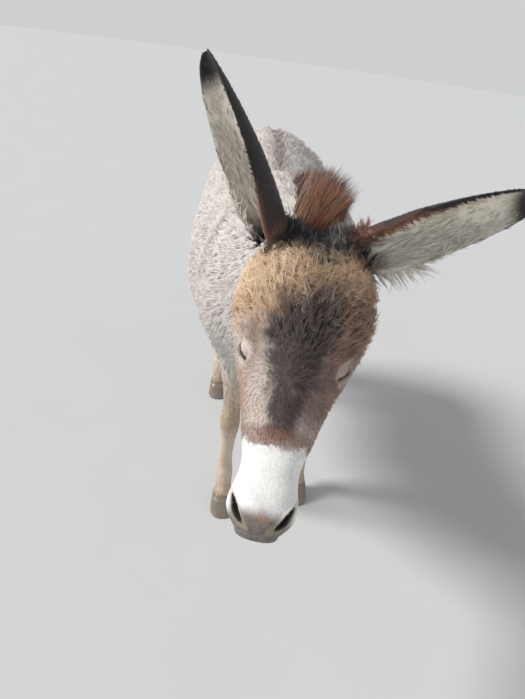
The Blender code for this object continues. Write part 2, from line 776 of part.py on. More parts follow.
fore_regions = {
    "left": wedge("fore leg left", FORE_SIDES, FORE_LENGTH, FORE_TOP),
    "right": wedge("fore leg right", mirrored(FORE_SIDES), FORE_LENGTH, FORE_TOP),
}
fore_cuts = [
    wedge("fore leg left grown", FORE_SIDES, FORE_LENGTH, FORE_TOP, GAP),
    wedge("fore leg right grown", mirrored(FORE_SIDES), FORE_LENGTH, FORE_TOP, GAP),
]
hind_regions = {
    "left": wedge("hind leg left", HIND_SIDES, HIND_LENGTH, HIND_TOP),
    "right": wedge("hind leg right", mirrored(HIND_SIDES), HIND_LENGTH, HIND_TOP),
}
hind_cut = wedge("hind legs grown", (-HIND_SIDES[1], HIND_SIDES[1]), HIND_LENGTH, HIND_TOP, GAP)
eye_centres = {
    "right": on_head(*EYE_PLACE[:1], -EYE_PLACE[1], EYE_PLACE[2]),
    "left": on_head(*EYE_PLACE),
}
sockets = []
for side, centre in eye_centres.items():
    sockets.append(ball(f"socket {side}", centre, EYE_RADIUS + GAP, GUIDES))
    sockets[-1].hide_render = True
    sockets[-1].display_type = "WIRE"

head = body_part("head", face_coat, [neck_region, head_region], sockets)
neck_part = body_part("neck", coat, [neck_region], [head_region_grown])
trunk_part = body_part("trunk", coat, [], [neck_region_grown, *fore_cuts, hind_cut, below_coronet])
for side in ("left", "right"):
    body_part(f"foreleg_{side}", coat, [fore_regions[side]], [below_coronet])
    body_part(f"hindleg_{side}", coat, [hind_regions[side]], [below_coronet])

around_skin = grown(whole, "body under hair", 2 * GAP)


def cut_from_body(made):
    """Leaves only what stands outside the body. The second cut clears creases, where the grown copy is too thin."""
    cut(made, around_skin)
    cut(made, whole)


for side in ("right", "left"):
    ear_part = ear_object(f"ear_{side}", EARS[side], dark_coat)
    cut_from_body(ear_part)
    ball(f"eye_{side}", eye_centres[side], EYE_RADIUS, PARTS, cornea)

mane = mane_object("mane", rust_coat)
cut_from_body(mane)
tail_rows = (
    (0.000, 0.790, 0.985, 0.030, 0.026, 0.026),
    (0.000, 0.868, 0.955, 0.027, 0.022, 0.024),
    (0.000, 0.902, 0.860, 0.023, 0.019, 0.021),
    (0.000, 0.912, 0.740, 0.019, 0.016, 0.018),
    (0.000, 0.908, 0.630, 0.021, 0.018, 0.019),
    (0.000, 0.906, 0.560, 0.032, 0.028, 0.028),
    (0.000, 0.903, 0.490, 0.038, 0.033, 0.033),
    (0.000, 0.900, 0.420, 0.030, 0.028, 0.028),
    (0.000, 0.898, 0.360, 0.010, 0.010, 0.010),
)
tail = hair_tube("tail", tail_rows, coat)
cut(tail, guide_box("below the dock", (-1, -1, -1), (1, 2, TUFT_TOP)))
cut_from_body(tail)
tail_tuft = hair_tube("tail_tuft", tail_rows, dark_coat)
cut(tail_tuft, guide_box("above the tuft", (-1, -1, TUFT_TOP - GAP), (1, 2, 2)))

hoof_places = {
    "hoof_fore_right": (FORE_RIGHT[0], FORE_RIGHT[1] - 0.022),
    "hoof_fore_left": (FORE_LEFT[0], FORE_LEFT[1] - 0.022),
    "hoof_hind_right": (HIND_RIGHT[0], HIND_RIGHT[1] - 0.010),
    "hoof_hind_left": (HIND_LEFT[0], HIND_LEFT[1] - 0.010),
}
for name, place in hoof_places.items():
    hoof_object(name, place, horn)

# The figure's place: the middle of its bounding box over the origin, its soles on the ground.
bpy.context.view_layer.update()
for part in PARTS.objects:
    if part.modifiers:
        part.data = evaluated(part)
        part.modifiers.clear()
every_point = np.concatenate([positions(part.data) for part in PARTS.objects])
low, high = every_point.min(0), every_point.max(0)
shift = Matrix.Translation((-(low[0] + high[0]) / 2, -(low[1] + high[1]) / 2, -low[2]))
for made in bpy.data.objects:
    made.data.transform(shift)
    made.data.shade_smooth()
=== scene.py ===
import math

import bmesh
import bpy
import numpy as np
from mathutils import Matrix, Vector


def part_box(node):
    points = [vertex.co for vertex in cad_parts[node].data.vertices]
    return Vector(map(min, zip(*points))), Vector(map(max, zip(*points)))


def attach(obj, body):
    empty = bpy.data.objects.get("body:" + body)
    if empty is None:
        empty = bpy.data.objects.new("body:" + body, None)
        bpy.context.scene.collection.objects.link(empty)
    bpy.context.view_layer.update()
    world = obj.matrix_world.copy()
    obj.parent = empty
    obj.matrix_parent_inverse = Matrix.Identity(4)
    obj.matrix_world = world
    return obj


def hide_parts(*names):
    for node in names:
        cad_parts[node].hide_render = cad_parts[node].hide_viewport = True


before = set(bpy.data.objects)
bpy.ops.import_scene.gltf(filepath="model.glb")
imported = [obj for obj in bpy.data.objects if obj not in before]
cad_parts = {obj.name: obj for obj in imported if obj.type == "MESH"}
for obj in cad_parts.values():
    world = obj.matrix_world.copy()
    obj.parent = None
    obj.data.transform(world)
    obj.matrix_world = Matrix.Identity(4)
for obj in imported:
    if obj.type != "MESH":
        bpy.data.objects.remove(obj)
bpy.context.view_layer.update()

# ------------------------------------------------------------------ skin, its forms
# The donkey's hide: one unbroken skin over the muscles of head, neck, trunk and legs. It lies under the coat by
# the coat's own depth. It is grown from rounded masses set along the skeleton and melted into each other.
# A side is -1 for the right and 1 for the left.
WITHERS, CROUP, TRUNK_LENGTH, CHEST_FRONT = 1.05, 1.070, 1.04, -0.20
HEAD_PITCH, HEAD_YAW, HEAD_ROLL = (math.radians(v) for v in (42.5, 15.5, 4.5))
POLL = np.array((-0.019, -0.379, 1.060))
EYE_RADIUS = 0.019
EYE_ALONG, EYE_ACROSS, EYE_OUT = 0.208, 0.070, -0.046
FORE_FEET = {-1: (-0.097, 0.038), 1: (0.152, 0.100)}
HIND_FEET = {-1: (-0.106, 0.660), 1: (0.112, 0.755)}
CORONET = 0.054  # height of the hoof's upper rim
FAR = 0.15  # how far from a mass its distance is still worked out

FORWARD = -np.array((
    math.sin(HEAD_YAW) * math.cos(HEAD_PITCH),
    math.cos(HEAD_YAW) * math.cos(HEAD_PITCH),
    math.sin(HEAD_PITCH),
))
LEVEL_SIDE = np.array((math.cos(HEAD_YAW), -math.sin(HEAD_YAW), 0.0))
LEVEL_BROW = np.cross(LEVEL_SIDE, -FORWARD)
HEAD_SIDE = math.cos(HEAD_ROLL) * LEVEL_SIDE - math.sin(HEAD_ROLL) * LEVEL_BROW
BROW = math.cos(HEAD_ROLL) * LEVEL_BROW + math.sin(HEAD_ROLL) * LEVEL_SIDE
HEAD_AXES = np.stack([FORWARD, HEAD_SIDE, BROW])


def on_head(along, across, out):
    """poll + along * forward + across * side + out * brow."""
    along, across, out = (np.asarray(v, float)[..., None] for v in (along, across, out))
    return POLL + along * FORWARD + across * HEAD_SIDE + out * BROW


def head_place(points):
    """The inverse of on_head: how far each point is along the head, across it and out of its forehead."""
    return (points - POLL) @ HEAD_AXES.T


def ramp(value, low, high):
    """0 below low, 1 above high, and 3t^2 - 2t^3 between, for either order of low and high."""
    t = np.clip((value - low) / (high - low), 0, 1)
    return t * t * (3 - 2 * t)


def unit(vectors):
    """The vectors, each at a length of 1."""
    return vectors / np.maximum(np.linalg.norm(vectors, axis=-1, keepdims=True), 1e-9)


def dot(first, second):
    """The dot product of each pair of rows."""
    return (first * second).sum(1)


def flat_on(vectors, outward):
    """The vectors less their share along outward, each at a length of 1."""
    return unit(vectors - dot(vectors, outward)[:, None] * outward)


def bell(value, middle, width):
    """exp(-((value - middle) / width)^2)."""
    return np.exp(-(((value - middle) / width) ** 2))


def between(table, place):
    """The rows of a table at places between its rows."""
    return np.stack([np.interp(place, np.arange(len(table)), column) for column in table.T], 1)


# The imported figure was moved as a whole. An eye shows by how much.
eye_low, eye_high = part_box("eye_left")
MOVED = (np.array(eye_low) + np.array(eye_high)) / 2 - on_head(EYE_ALONG, EYE_ACROSS, EYE_OUT)


def through(knots, count):
    """count rows of a Catmull-Rom curve through the rows of knots."""
    knots = np.asarray(knots, float)
    last = len(knots) - 1
    t = np.linspace(0, last, count)
    i = np.clip(t.astype(int), 0, last - 1)
    f = (t - i)[:, None]
    before, start, end, after = (knots[np.clip(i + k, 0, last)] for k in (-1, 0, 1, 2))
    bend = (2 * before - 5 * start + 4 * end - after) * f**2 + (3 * start - before - 3 * end + after) * f**3
    return 0.5 * (2 * start + (end - before) * f + bend)


class Mass:
    """A form with superelliptic sections |a/w|^p + |h/r|^p + |past/cap|^p = 1 carried along a curve.

    Rows are x, y, z, half width w, reach r on the upper side and on the lower side.
    """

    def __init__(self, rows, side=(1, 0, 0), power=2.0, blend=0.03, pear=0.0, caps=(0.02, 0.02), samples=28):
        self.rows, self.side = through(rows, samples), np.asarray(side, float)
        self.power, self.blend, self.pear, self.caps = power, blend, pear, caps
        self.direction = unit(np.gradient(self.rows[:, :3], axis=0))

    def bearings(self, place):
        """Direction of the curve, side and upper vector at each place."""
        direction = unit(between(self.direction, place))
        side = unit(self.side - (direction @ self.side)[:, None] * direction)
        return direction, side, np.cross(side, direction)

    def nearest(self, points):
        """The place on the curve nearest each point, as a sample number."""
        centres = self.rows[:, :3]
        nearest, place = np.full(len(points), np.inf), np.zeros(len(points))
        for i in range(len(centres) - 1):
            run = centres[i + 1] - centres[i]
            t = np.clip((points - centres[i]) @ run / (run @ run), 0, 1)
            gap = ((points - centres[i] - t[:, None] * run) ** 2).sum(1)
            closer = gap < nearest
            nearest[closer], place[closer] = gap[closer], i + t[closer]
        return place

    def distance(self, points):
        """|offset| * (1 - 1 / share), where share is the p-norm of the offset over the section's reaches."""
        reach = self.rows[:, 3:].max() + FAR
        low, high = self.rows[:, :3].min(0) - reach, self.rows[:, :3].max(0) + reach
        near = np.all((points > low) & (points < high), axis=1)
        found = np.full(len(points), FAR)
        if not near.any():
            return found
        points = points[near]
        place = self.nearest(points)
        row = between(self.rows, place)
        direction, side, upper = self.bearings(place)
        offset = points - row[:, :3]
        across, height, past = (dot(offset, v) for v in (side, upper, direction))
        reach = np.where(height > 0, row[:, 4], row[:, 5])
        width = row[:, 3] * (1 - self.pear * np.clip(height / reach, -1, 1))
        cap = np.where(place < 1, self.caps[0], self.caps[1])
        past = np.where((place <= 0) | (place >= len(self.rows) - 1), past, 0.0)
        share = np.abs(across / width) ** self.power + np.abs(height / reach) ** self.power
        share = (share + np.abs(past / cap) ** self.power) ** (1 / self.power)
        found[near] = np.linalg.norm(offset, axis=1) * (1 - 1 / np.maximum(share, 1e-6))
        return found

    def wrap(self, points):
        """Each point unwrapped: its share of the way round and its share of the way along."""
        place = self.nearest(points)
        _, side, upper = self.bearings(place)
        offset = points - between(self.rows[:, :3], place)
        round_ = np.arctan2(dot(offset, side), -dot(offset, upper)) / (2 * math.pi) + 0.5
        return np.stack([round_, place / (len(self.rows) - 1)], 1)

    def shell(self, around=20):
        """Rings of a plain tube of the form, for the first rough skin."""
        _, side, upper = self.bearings(np.arange(len(self.rows), dtype=float))
        turn = np.linspace(0, 2 * math.pi, around, endpoint=False)
        reach = np.where(np.sin(turn) > 0, self.rows[:, 4:5], self.rows[:, 5:6])
        sideways = (self.rows[:, 3:4] * np.cos(turn))[..., None] * side[:, None]
        return self.rows[:, None, :3] + sideways + (reach * np.sin(turn))[..., None] * upper[:, None]


def trunk():
    """Barrel from the point of the shoulder to the buttock: share of the length, top, bottom, half width."""
    stations = (
        (0.00, 0.880, 0.690, 0.090),
        (0.07, 0.960, 0.610, 0.146),
        (0.15, 1.020, 0.565, 0.190),
        (0.24, WITHERS, 0.545, 0.213),
        (0.36, WITHERS - 0.030, 0.525, 0.234),
        (0.50, WITHERS - 0.045, 0.508, 0.252),
        (0.62, WITHERS - 0.032, 0.520, 0.250),
        (0.74, WITHERS + 0.004, 0.570, 0.236),
        (0.84, CROUP, 0.630, 0.216),
        (0.93, CROUP - 0.038, 0.670, 0.184),
        (1.00, CROUP - 0.110, 0.730, 0.130),
    )
    rows = [
        (0.0, CHEST_FRONT + share * TRUNK_LENGTH, (top + low) / 2, half, (top - low) / 2, (top - low) / 2)
        for share, top, low, half in stations
    ]
    return Mass(rows, power=2.2, pear=0.19, caps=(0.05, 0.045), samples=40)


def neck():
    """From inside the skull's back to the shoulder, deep and narrow."""
    rows = (
        (*on_head(0.080, 0.0, -0.085), 0.075, 0.080, 0.100),
        (-0.021, -0.290, 0.950, 0.078, 0.100, 0.120),
        (-0.018, -0.190, 0.922, 0.098, 0.120, 0.150),
        (-0.008, -0.080, 0.895, 0.132, 0.142, 0.180),
        (0.000, 0.030, 0.870, 0.158, 0.168, 0.200),
        (0.000, 0.140, 0.860, 0.160, 0.165, 0.195),
    )
    return Mass(rows, power=2.1, blend=0.075, pear=0.22)


def head_rows(stations):
    """Rows along the head from: along, middle under the forehead line, half width, reach up, reach down."""
    return [(*on_head(along, 0.0, middle), half, up, down) for along, middle, half, up, down in stations]


def skull():
    """The head's core from the lips back to the nape."""
    stations = (
        (0.484, -0.063, 0.035, 0.031, 0.034),
        (0.462, -0.060, 0.0475, 0.045, 0.044),
        (0.430, -0.058, 0.0520, 0.051, 0.050),
        (0.385, -0.058, 0.0480, 0.053, 0.053),
        (0.340, -0.062, 0.0600, 0.058, 0.058),
        (0.300, -0.064, 0.0700, 0.061, 0.066),
        (0.255, -0.067, 0.0840, 0.066, 0.080),
        (0.205, -0.072, 0.1060, 0.074, 0.098),
        (0.150, -0.078, 0.1240, 0.088, 0.112),
        (0.095, -0.080, 0.1260, 0.096, 0.110),
        (0.045, -0.082, 0.1150, 0.092, 0.092),
        (0.000, -0.084, 0.0780, 0.074, 0.070),
    )
    rows = head_rows(stations)
    return Mass(rows, HEAD_SIDE, power=2.3, pear=-0.06, blend=0.04, caps=(0.014, 0.03), samples=44)


def lower_jaw():
    """Chin and lower lip back to the cheeks."""
    stations = (
        (0.458, -0.108, 0.026, 0.022, 0.022),
        (0.430, -0.114, 0.034, 0.030, 0.027),
        (0.380, -0.114, 0.033, 0.030, 0.026),
        (0.310, -0.124, 0.036, 0.034, 0.026),
        (0.220, -0.146, 0.048, 0.044, 0.034),
        (0.140, -0.160, 0.060, 0.054, 0.044),
        (0.075, -0.150, 0.060, 0.060, 0.045),
    )
    return Mass(head_rows(stations), HEAD_SIDE, power=2.2, blend=0.016, caps=(0.012, 0.03))


def cheek(side):
    """The round jaw muscle at one side of the head."""
    stations = ((0.080, 0.066, -0.112, 0.050), (0.120, 0.072, -0.120, 0.064), (0.170, 0.062, -0.118, 0.053))
    rows = [
        (*on_head(along, side * across, out), 0.040, reach, reach) for along, across, out, reach in stations
    ]
    return Mass(rows, HEAD_SIDE, blend=0.03, caps=(0.04, 0.05), samples=14)


def ear_root(base, axis):
    """The swollen foot of an ear on the skull."""
    along = ((-0.030, 0.036), (-0.004, 0.034), (0.022, 0.024))
    rows = [(*(base + place * axis), reach, reach, reach) for place, reach in along]
    return Mass(rows, FORWARD, blend=0.036, caps=(0.02, 0.016), samples=10)


def fore_leg(side):
    """Shoulder blade to coronet."""
    x, y = FORE_FEET[side]
    rows = (
        (side * 0.080, 0.060, 0.900, 0.045, 0.085, 0.090),
        (side * 0.118, 0.025, 0.790, 0.058, 0.095, 0.105),
        (side * 0.132, 0.015 + 0.2 * y, 0.690, 0.062, 0.088, 0.085),
        (side * 0.124, 0.028 + 0.4 * y, 0.610, 0.056, 0.066, 0.062),
        (0.3 * side * 0.12 + 0.7 * x, 0.020 + 0.6 * y, 0.530, 0.044, 0.050, 0.048),
        (x, 0.010 + 0.8 * y, 0.440, 0.035, 0.039, 0.038),
        (x, 0.004 + 0.9 * y, 0.370, 0.031, 0.034, 0.033),
        (x, 0.000 + y, 0.322, 0.034, 0.035, 0.037),
        (x, 0.004 + y, 0.270, 0.027, 0.030, 0.029),
        (x, 0.008 + y, 0.200, 0.0225, 0.028, 0.025),
        (x, 0.010 + y, 0.155, 0.024, 0.030, 0.026),
        (x, 0.006 + y, 0.122, 0.029, 0.034, 0.031),
        (x, -0.010 + y, 0.085, 0.0265, 0.028, 0.027),
        (x, -0.022 + y, CORONET, 0.031, 0.034, 0.034),
        (x, -0.027 + y, CORONET - 0.010, 0.0255, 0.0265, 0.0265),
        (x, -0.034 + y, CORONET - 0.030, 0.0235, 0.0245, 0.0245),
    )
    return Mass(rows, power=2.1, blend=0.045, caps=(0.05, 0.006), samples=44)


def hind_leg(side):
    """Croup to coronet: thigh, stifle, hock and cannon."""
    x, y = HIND_FEET[side]
    rows = (
        (side * 0.085, 0.740, 0.930, 0.070, 0.090, 0.130),
        (side * 0.112, 0.725, 0.830, 0.084, 0.110, 0.150),
        (side * 0.122, 0.700, 0.730, 0.078, 0.128, 0.135),
        (side * 0.124, 0.40 + 0.45 * y, 0.640, 0.064, 0.110, 0.112),
        (side * 0.122, 0.22 + 0.72 * y, 0.560, 0.050, 0.082, 0.078),
        (x, 0.052 + y, 0.490, 0.037, 0.054, 0.050),
        (x, 0.072 + y, 0.425, 0.033, 0.046, 0.038),
        (x, 0.064 + y, 0.365, 0.030, 0.036, 0.035),
        (x, 0.052 + y, 0.290, 0.0245, 0.029, 0.028),
        (x, 0.044 + y, 0.210, 0.0235, 0.028, 0.027),
        (x, 0.040 + y, 0.160, 0.025, 0.031, 0.028),
        (x, 0.030 + y, 0.125, 0.0295, 0.035, 0.032),
        (x, 0.006 + y, 0.085, 0.0265, 0.029, 0.028),
        (x, -0.010 + y, CORONET, 0.031, 0.035, 0.034),
        (x, -0.015 + y, CORONET - 0.010, 0.0255, 0.0265, 0.0265),
        (x, -0.022 + y, CORONET - 0.030, 0.0235, 0.0245, 0.0245),
    )
    return Mass(rows, power=2.1, blend=0.05, caps=(0.06, 0.006), samples=44)


def dock():
    """The tail's own flesh, under its short hair."""
    rows = (
        (0.000, 0.740, 0.995, 0.030, 0.026, 0.026),
        (0.000, 0.790, 0.985, 0.030, 0.026, 0.026),
        (0.000, 0.868, 0.955, 0.027, 0.022, 0.024),
        (0.000, 0.902, 0.860, 0.024, 0.020, 0.022),
        (0.000, 0.912, 0.740, 0.021, 0.018, 0.020),
        (0.000, 0.908, 0.620, 0.020, 0.018, 0.019),
    )
    return Mass(rows, blend=0.02, caps=(0.02, 0.02), samples=24)


def swellings():
    """Bumps and hollows h * exp(-(x/a)^2 - (y/b)^2 - (z/c)^2): centre, radii, height, axes."""
    found = [
        (on_head(0.060, 0, 0.010), (0.060, 0.080, 0.050), 0.010, HEAD_AXES),
        (on_head(0.300, 0, -0.005), (0.060, 0.030, 0.030), 0.003, HEAD_AXES),
        (on_head(0.435, 0, -0.140), (0.022, 0.025, 0.020), 0.006, HEAD_AXES),
        ((0, CHEST_FRONT - 0.01, 0.74), (0.07, 0.06, 0.08), 0.010, np.eye(3)),
    ]
    for side in (-1, 1):
        found += [
            (on_head(0.193, side * 0.082, -0.018), (0.034, 0.026, 0.018), 0.008, HEAD_AXES),
            (on_head(0.210, side * 0.090, -0.036), (0.026, 0.022, 0.019), -0.010, HEAD_AXES),
            (on_head(0.165, side * 0.106, -0.045), (0.022, 0.022, 0.018), -0.006, HEAD_AXES),
            (on_head(0.262, side * 0.078, -0.082), (0.060, 0.020, 0.016), 0.004, HEAD_AXES),
            (on_head(0.452, side * 0.050, -0.050), (0.024, 0.018, 0.026), 0.006, HEAD_AXES),
            (on_head(0.400, side * 0.046, -0.096), (0.040, 0.020, 0.007), -0.004, HEAD_AXES),
            ((side * 0.17, 0.60, 0.72), (0.05, 0.07, 0.10), -0.012, np.eye(3)),
            ((side * 0.16, 0.60, 0.985), (0.05, 0.05, 0.04), 0.012, np.eye(3)),
            ((side * 0.13, 0.10, 0.60), (0.05, 0.035, 0.035), 0.008, np.eye(3)),
        ]
    return found


RIGHT_EAR_AXIS = unit(np.array((-0.520, 0.087, 0.850)))
LEFT_EAR_AXIS = unit(np.array((0.948, 0.038, 0.326)))
EAR_BASES = {-1: on_head(-0.012, -0.058, -0.022), 1: on_head(-0.012, 0.060, -0.010)}
TRUNK, NECK, SKULL, DOCK = trunk(), neck(), skull(), dock()
FORE_LEGS = {side: fore_leg(side) for side in (-1, 1)}
HIND_LEGS = {side: hind_leg(side) for side in (-1, 1)}
MASSES = [TRUNK, NECK, SKULL, lower_jaw(), cheek(-1), cheek(1)]
MASSES += [ear_root(EAR_BASES[-1], RIGHT_EAR_AXIS), ear_root(EAR_BASES[1], LEFT_EAR_AXIS)]
MASSES += [*FORE_LEGS.values(), *HIND_LEGS.values(), DOCK]
SWELLINGS = swellings()


def head_share(points):
    """1 on the head, 0 behind the jaw, with a soft change across the throat."""
    along, _, out = head_place(points).T
    return ramp(along - 0.45 * np.clip(-out - 0.02, 0, None), -0.055, -0.010) * ramp(out, -0.36, -0.30)


def coat_depth(points):
    """How deep the skin lies under the tips of the coat: most on forehead and body, least on the muzzle."""
    along, across, out = head_place(points).T
    stations = (0.0, 0.10, 0.17, 0.24, 0.34, 0.37, 0.50)
    face = np.interp(along, stations, (0.017, 0.017, 0.013, 0.005, 0.003, 0.0015, 0.0012))
    for side in (-1, 1):
        eye = on_head(EYE_ALONG, side * (EYE_ACROSS + 0.012), EYE_OUT + 0.008)
        near = np.exp(-(((points - eye) ** 2).sum(1)) / 0.032**2)
        face = face * (1 - near) + 0.003 * near
    on_head_share = head_share(points)
    body = np.interp(points[:, 2], (0.10, 0.30, 0.50, 0.62), (0.003, 0.004, 0.008, 0.012))
    tail = ramp(points[:, 1], 0.875, 0.895)
    body = body * (1 - tail) + 0.005 * tail
    return on_head_share * face + (1 - on_head_share) * body


def skin_distance(points):
    """Smooth minimum of all masses, less the swellings, plus the coat's depth: zero on the skin."""
    total = MASSES[0].distance(points)
    for mass in MASSES[1:]:
        other = mass.distance(points)
        share = np.clip(0.5 + 0.5 * (other - total) / mass.blend, 0, 1)
        total = other * (1 - share) + total * share - mass.blend * share * (1 - share)
    for centre, radii, height, axes in SWELLINGS:
        total -= height * np.exp(-(((points - centre) @ axes.T / radii) ** 2).sum(1))
    return total + coat_depth(points)


def read(collection, field, width):
    """One value of every element of a mesh as an array."""
    flat = np.empty(len(collection) * width, np.float32)
    collection.foreach_get(field, flat)
    return flat.reshape(-1, width).astype(float)


def mesh_from(name, points, faces):
    """A mesh of these points and faces, with doubles merged and every face outwards."""
    mesh = bpy.data.meshes.new(name)
    mesh.from_pydata(points.tolist(), [], faces)
    shape = bmesh.new()
    shape.from_mesh(mesh)
    bmesh.ops.remove_doubles(shape, verts=shape.verts, dist=1e-6)
    bmesh.ops.recalc_face_normals(shape, faces=shape.faces)
    shape.to_mesh(mesh)
    shape.free()
    return mesh


def tube_faces(rows, around, first=0):
    """Quads between rings and a cap at each end."""
    i, j = np.meshgrid(np.arange(rows - 1), np.arange(around), indexing="ij")
    k = (j + 1) % around
    quads = np.stack([i * around + j, i * around + k, (i + 1) * around + k, (i + 1) * around + j], -1) + first
    start, end = first + np.arange(around)[::-1], first + (rows - 1) * around + np.arange(around)
    return quads.reshape(-1, 4).tolist() + [start.tolist(), end.tolist()]


def shown(mesh, name):
    """A new object of the scene with this mesh."""
    made = bpy.data.objects.new(name, mesh)
    bpy.context.scene.collection.objects.link(made)
    return made


def with_modifier(made, kind, **settings):
    """Applies one modifier to the mesh."""
    modifier = made.modifiers.new(kind, kind)
    for setting, value in settings.items():
        setattr(modifier, setting, value)
    graph = bpy.context.evaluated_depsgraph_get()
    made.data = bpy.data.meshes.new_from_object(made.evaluated_get(graph))
    made.modifiers.clear()


def settle(mesh, rounds, moving=None, most=0.015, probe=0.002):
    """Newton's steps p - d grad d / |grad d|^2 down to the skin, and the vertices evened out on the way."""
    ends = np.empty(len(mesh.edges) * 2, np.int32)
    mesh.edges.foreach_get("vertices", ends)
    first, second = ends.reshape(-1, 2).T
    count = np.bincount(ends, minlength=len(mesh.vertices))
    moving = np.ones(len(mesh.vertices), bool) if moving is None else moving
    for number in range(rounds):
        points = read(mesh.vertices, "co", 3)
        near = points[moving]
        here = skin_distance(near)
        slope = np.stack([skin_distance(near + probe * axis) - here for axis in np.eye(3)], axis=1) / probe
        step = here[:, None] * slope / np.maximum((slope**2).sum(1)[:, None], 0.3)
        step *= np.minimum(1.0, most / np.maximum(np.linalg.norm(step, axis=1)[:, None], 1e-9))
        total = [
            np.bincount(first, column[second], len(points)) + np.bincount(second, column[first], len(points))
            for column in points.T
        ]
        slide = (0.5 * (np.stack(total, axis=1) / count[:, None] - points))[moving]
        if number >= rounds // 2:
            outward = read(mesh.vertex_normals, "vector", 3)[moving]
            slide -= dot(slide, outward)[:, None] * outward
        points[moving] = near + slide - step
        mesh.vertices.foreach_set("co", points.astype(np.float32).ravel())
        mesh.update()


shells, shell_faces = [], []
for mass in MASSES:
    rings = mass.shell()
    shell_faces += tube_faces(*rings.shape[:2], first=sum(len(s) for s in shells))
    shells.append(rings.reshape(-1, 3))
skin = shown(mesh_from("rough skin", np.concatenate(shells), shell_faces), "skin")
for voxel, rounds in ((0.012, 4), (0.011, 4), (0.0095, 3)):
    with_modifier(skin, "REMESH", mode="VOXEL", voxel_size=voxel)
    settle(skin.data, rounds)


# ------------------------------------------------------------------ skin, the face
# Nearly closed lids over the eyes, nostrils like commas, and the line of the mouth. The skin is given finer
# faces there, and each detail is a push along one direction by a profile in the head's own directions.
def finer(mesh, near):
    """Cuts the faces in two each way where near(points) is true."""
    chosen = near(read(mesh.vertices, "co", 3))
    shape = bmesh.new()
    shape.from_mesh(mesh)
    shape.verts.ensure_lookup_table()
    edges = [e for e in shape.edges if chosen[e.verts[0].index] and chosen[e.verts[1].index]]
    bmesh.ops.subdivide_edges(shape, edges=edges, cuts=1, use_grid_fill=True)
    shape.to_mesh(mesh)
    shape.free()


def on_face(points):
    """Whether each point is on the head in front of the ears."""
    along, _, out = head_place(points).T
    from_middle = np.linalg.norm(points - on_head(0.25, 0, -0.08), axis=1)
    return (along > 0.03) & (head_share(points) > 0.5) & (from_middle < 0.33)


EYES = {side: on_head(EYE_ALONG, side * EYE_ACROSS, EYE_OUT) for side in (-1, 1)}
NOSTRIL_ALONG, NOSTRIL_ACROSS, NOSTRIL_OUT = 0.456, 0.031, -0.036


def on_features(points):
    """Whether each point is at an eye, a nostril or the mouth."""
    along, across, out = head_place(points).T
    eyes = np.minimum(*(np.linalg.norm(points - centre, axis=1) for centre in EYES.values())) < 0.036
    nose = (along > 0.424) & (out > -0.09)
    mouth = (along > 0.372) & (np.abs(out + 0.093) < 0.016)
    return eyes | nose | mouth


finer(skin.data, on_face)
settle(skin.data, 2, moving=on_face(read(skin.data.vertices, "co", 3)), most=0.004)
finer(skin.data, on_features)
settle(skin.data, 2, moving=on_features(read(skin.data.vertices, "co", 3)), most=0.002)
finer(skin.data, on_features)

LID_THICKNESS, LID_RIM, LID_FOLD, LID_CREASE, TEAR_DEPTH = 0.0022, 0.0009, 0.0010, 0.0012, 0.0020
SLIT_HALF_LENGTH, SLIT_HALF_HEIGHT, SLIT_DROP, SLIT_BEND = 0.0185, 0.0036, 0.0035, 6.0
BEHIND_BALL = 0.0012  # how far the skin in the slit lies inside the eye's radius
PIT_DEPTH, NOSTRIL_RIM = 0.017, 0.0014
SEAM_OUT, SEAM_DEPTH, SEAM_WIDTH = -0.0935, 0.0050, 0.0030
FORE_TOE, HIND_TOE = 0.027, 0.016  # from a foot's place back to the middle of its hoof


def eye_bearings(side):
    """Outward, along the slit (to its front corner) and up across it, for one eye."""
    outward = unit(0.34 * FORWARD + side * 0.80 * HEAD_SIDE + 0.49 * BROW)
    along = unit(0.80 * FORWARD - side * 0.52 * HEAD_SIDE + 0.16 * BROW)
    along = unit(along - (along @ outward) * outward)
    up = np.cross(along, outward) * side
    return outward, along, up if up @ BROW > 0 else -up


def above_slit(u, v):
    """v + d - c u^2: how far a place is above the curve where the lids meet."""
    return v + SLIT_DROP - SLIT_BEND * u**2


def tear_line(u, v):
    """1 on the fold that runs down from the eye's front corner, 0 away from it."""
    return bell(v + 0.0075 - 0.10 * (u - 0.02), 0, 0.0016) * ramp(u, 0.014, 0.019) * ramp(u, 0.036, 0.026)


def lids(points):
    """Radius from the eye's centre: the ball and a lid, less the lid inside an almond |v| < h (1 - (u/l)^2)."""
    for side, centre in EYES.items():
        outward, along, up = eye_bearings(side)
        offset = points - centre
        radius = np.linalg.norm(offset, axis=1)
        u, v, w = (offset @ axis for axis in (along, up, outward))
        facing = w > 0.15 * radius
        height = SLIT_HALF_HEIGHT * np.clip(1 - (u / SLIT_HALF_LENGTH) ** 2, 0, None)
        from_slit = np.abs(above_slit(u, v)) - height
        rim = LID_RIM * bell(from_slit, 0.0012, 0.0012) * (np.abs(u) < 1.15 * SLIT_HALF_LENGTH)
        lid = EYE_RADIUS + LID_THICKNESS + rim
        open_ = ramp(from_slit, 0.0006, -0.0003) * (np.abs(u) < SLIT_HALF_LENGTH)
        lid = lid * (1 - open_) + (EYE_RADIUS - BEHIND_BALL) * open_
        from_axis = np.hypot(u / 0.027, v / 0.023)
        held = ramp(from_axis, 1.20, 0.55) * facing
        above = ramp(v, -0.002, 0.006)
        crease = -LID_CREASE * bell(from_axis, 0.98, 0.10) * above
        fold = LID_FOLD * bell(from_axis, 1.22, 0.12) * above
        pushed = (crease + fold - TEAR_DEPTH * tear_line(u, v)) * facing
        wanted = radius * (1 - held) + lid * held + pushed
        near = radius < 0.045
        points[near] = (centre + offset * (wanted / np.maximum(radius, 1e-6))[:, None])[near]
    return points


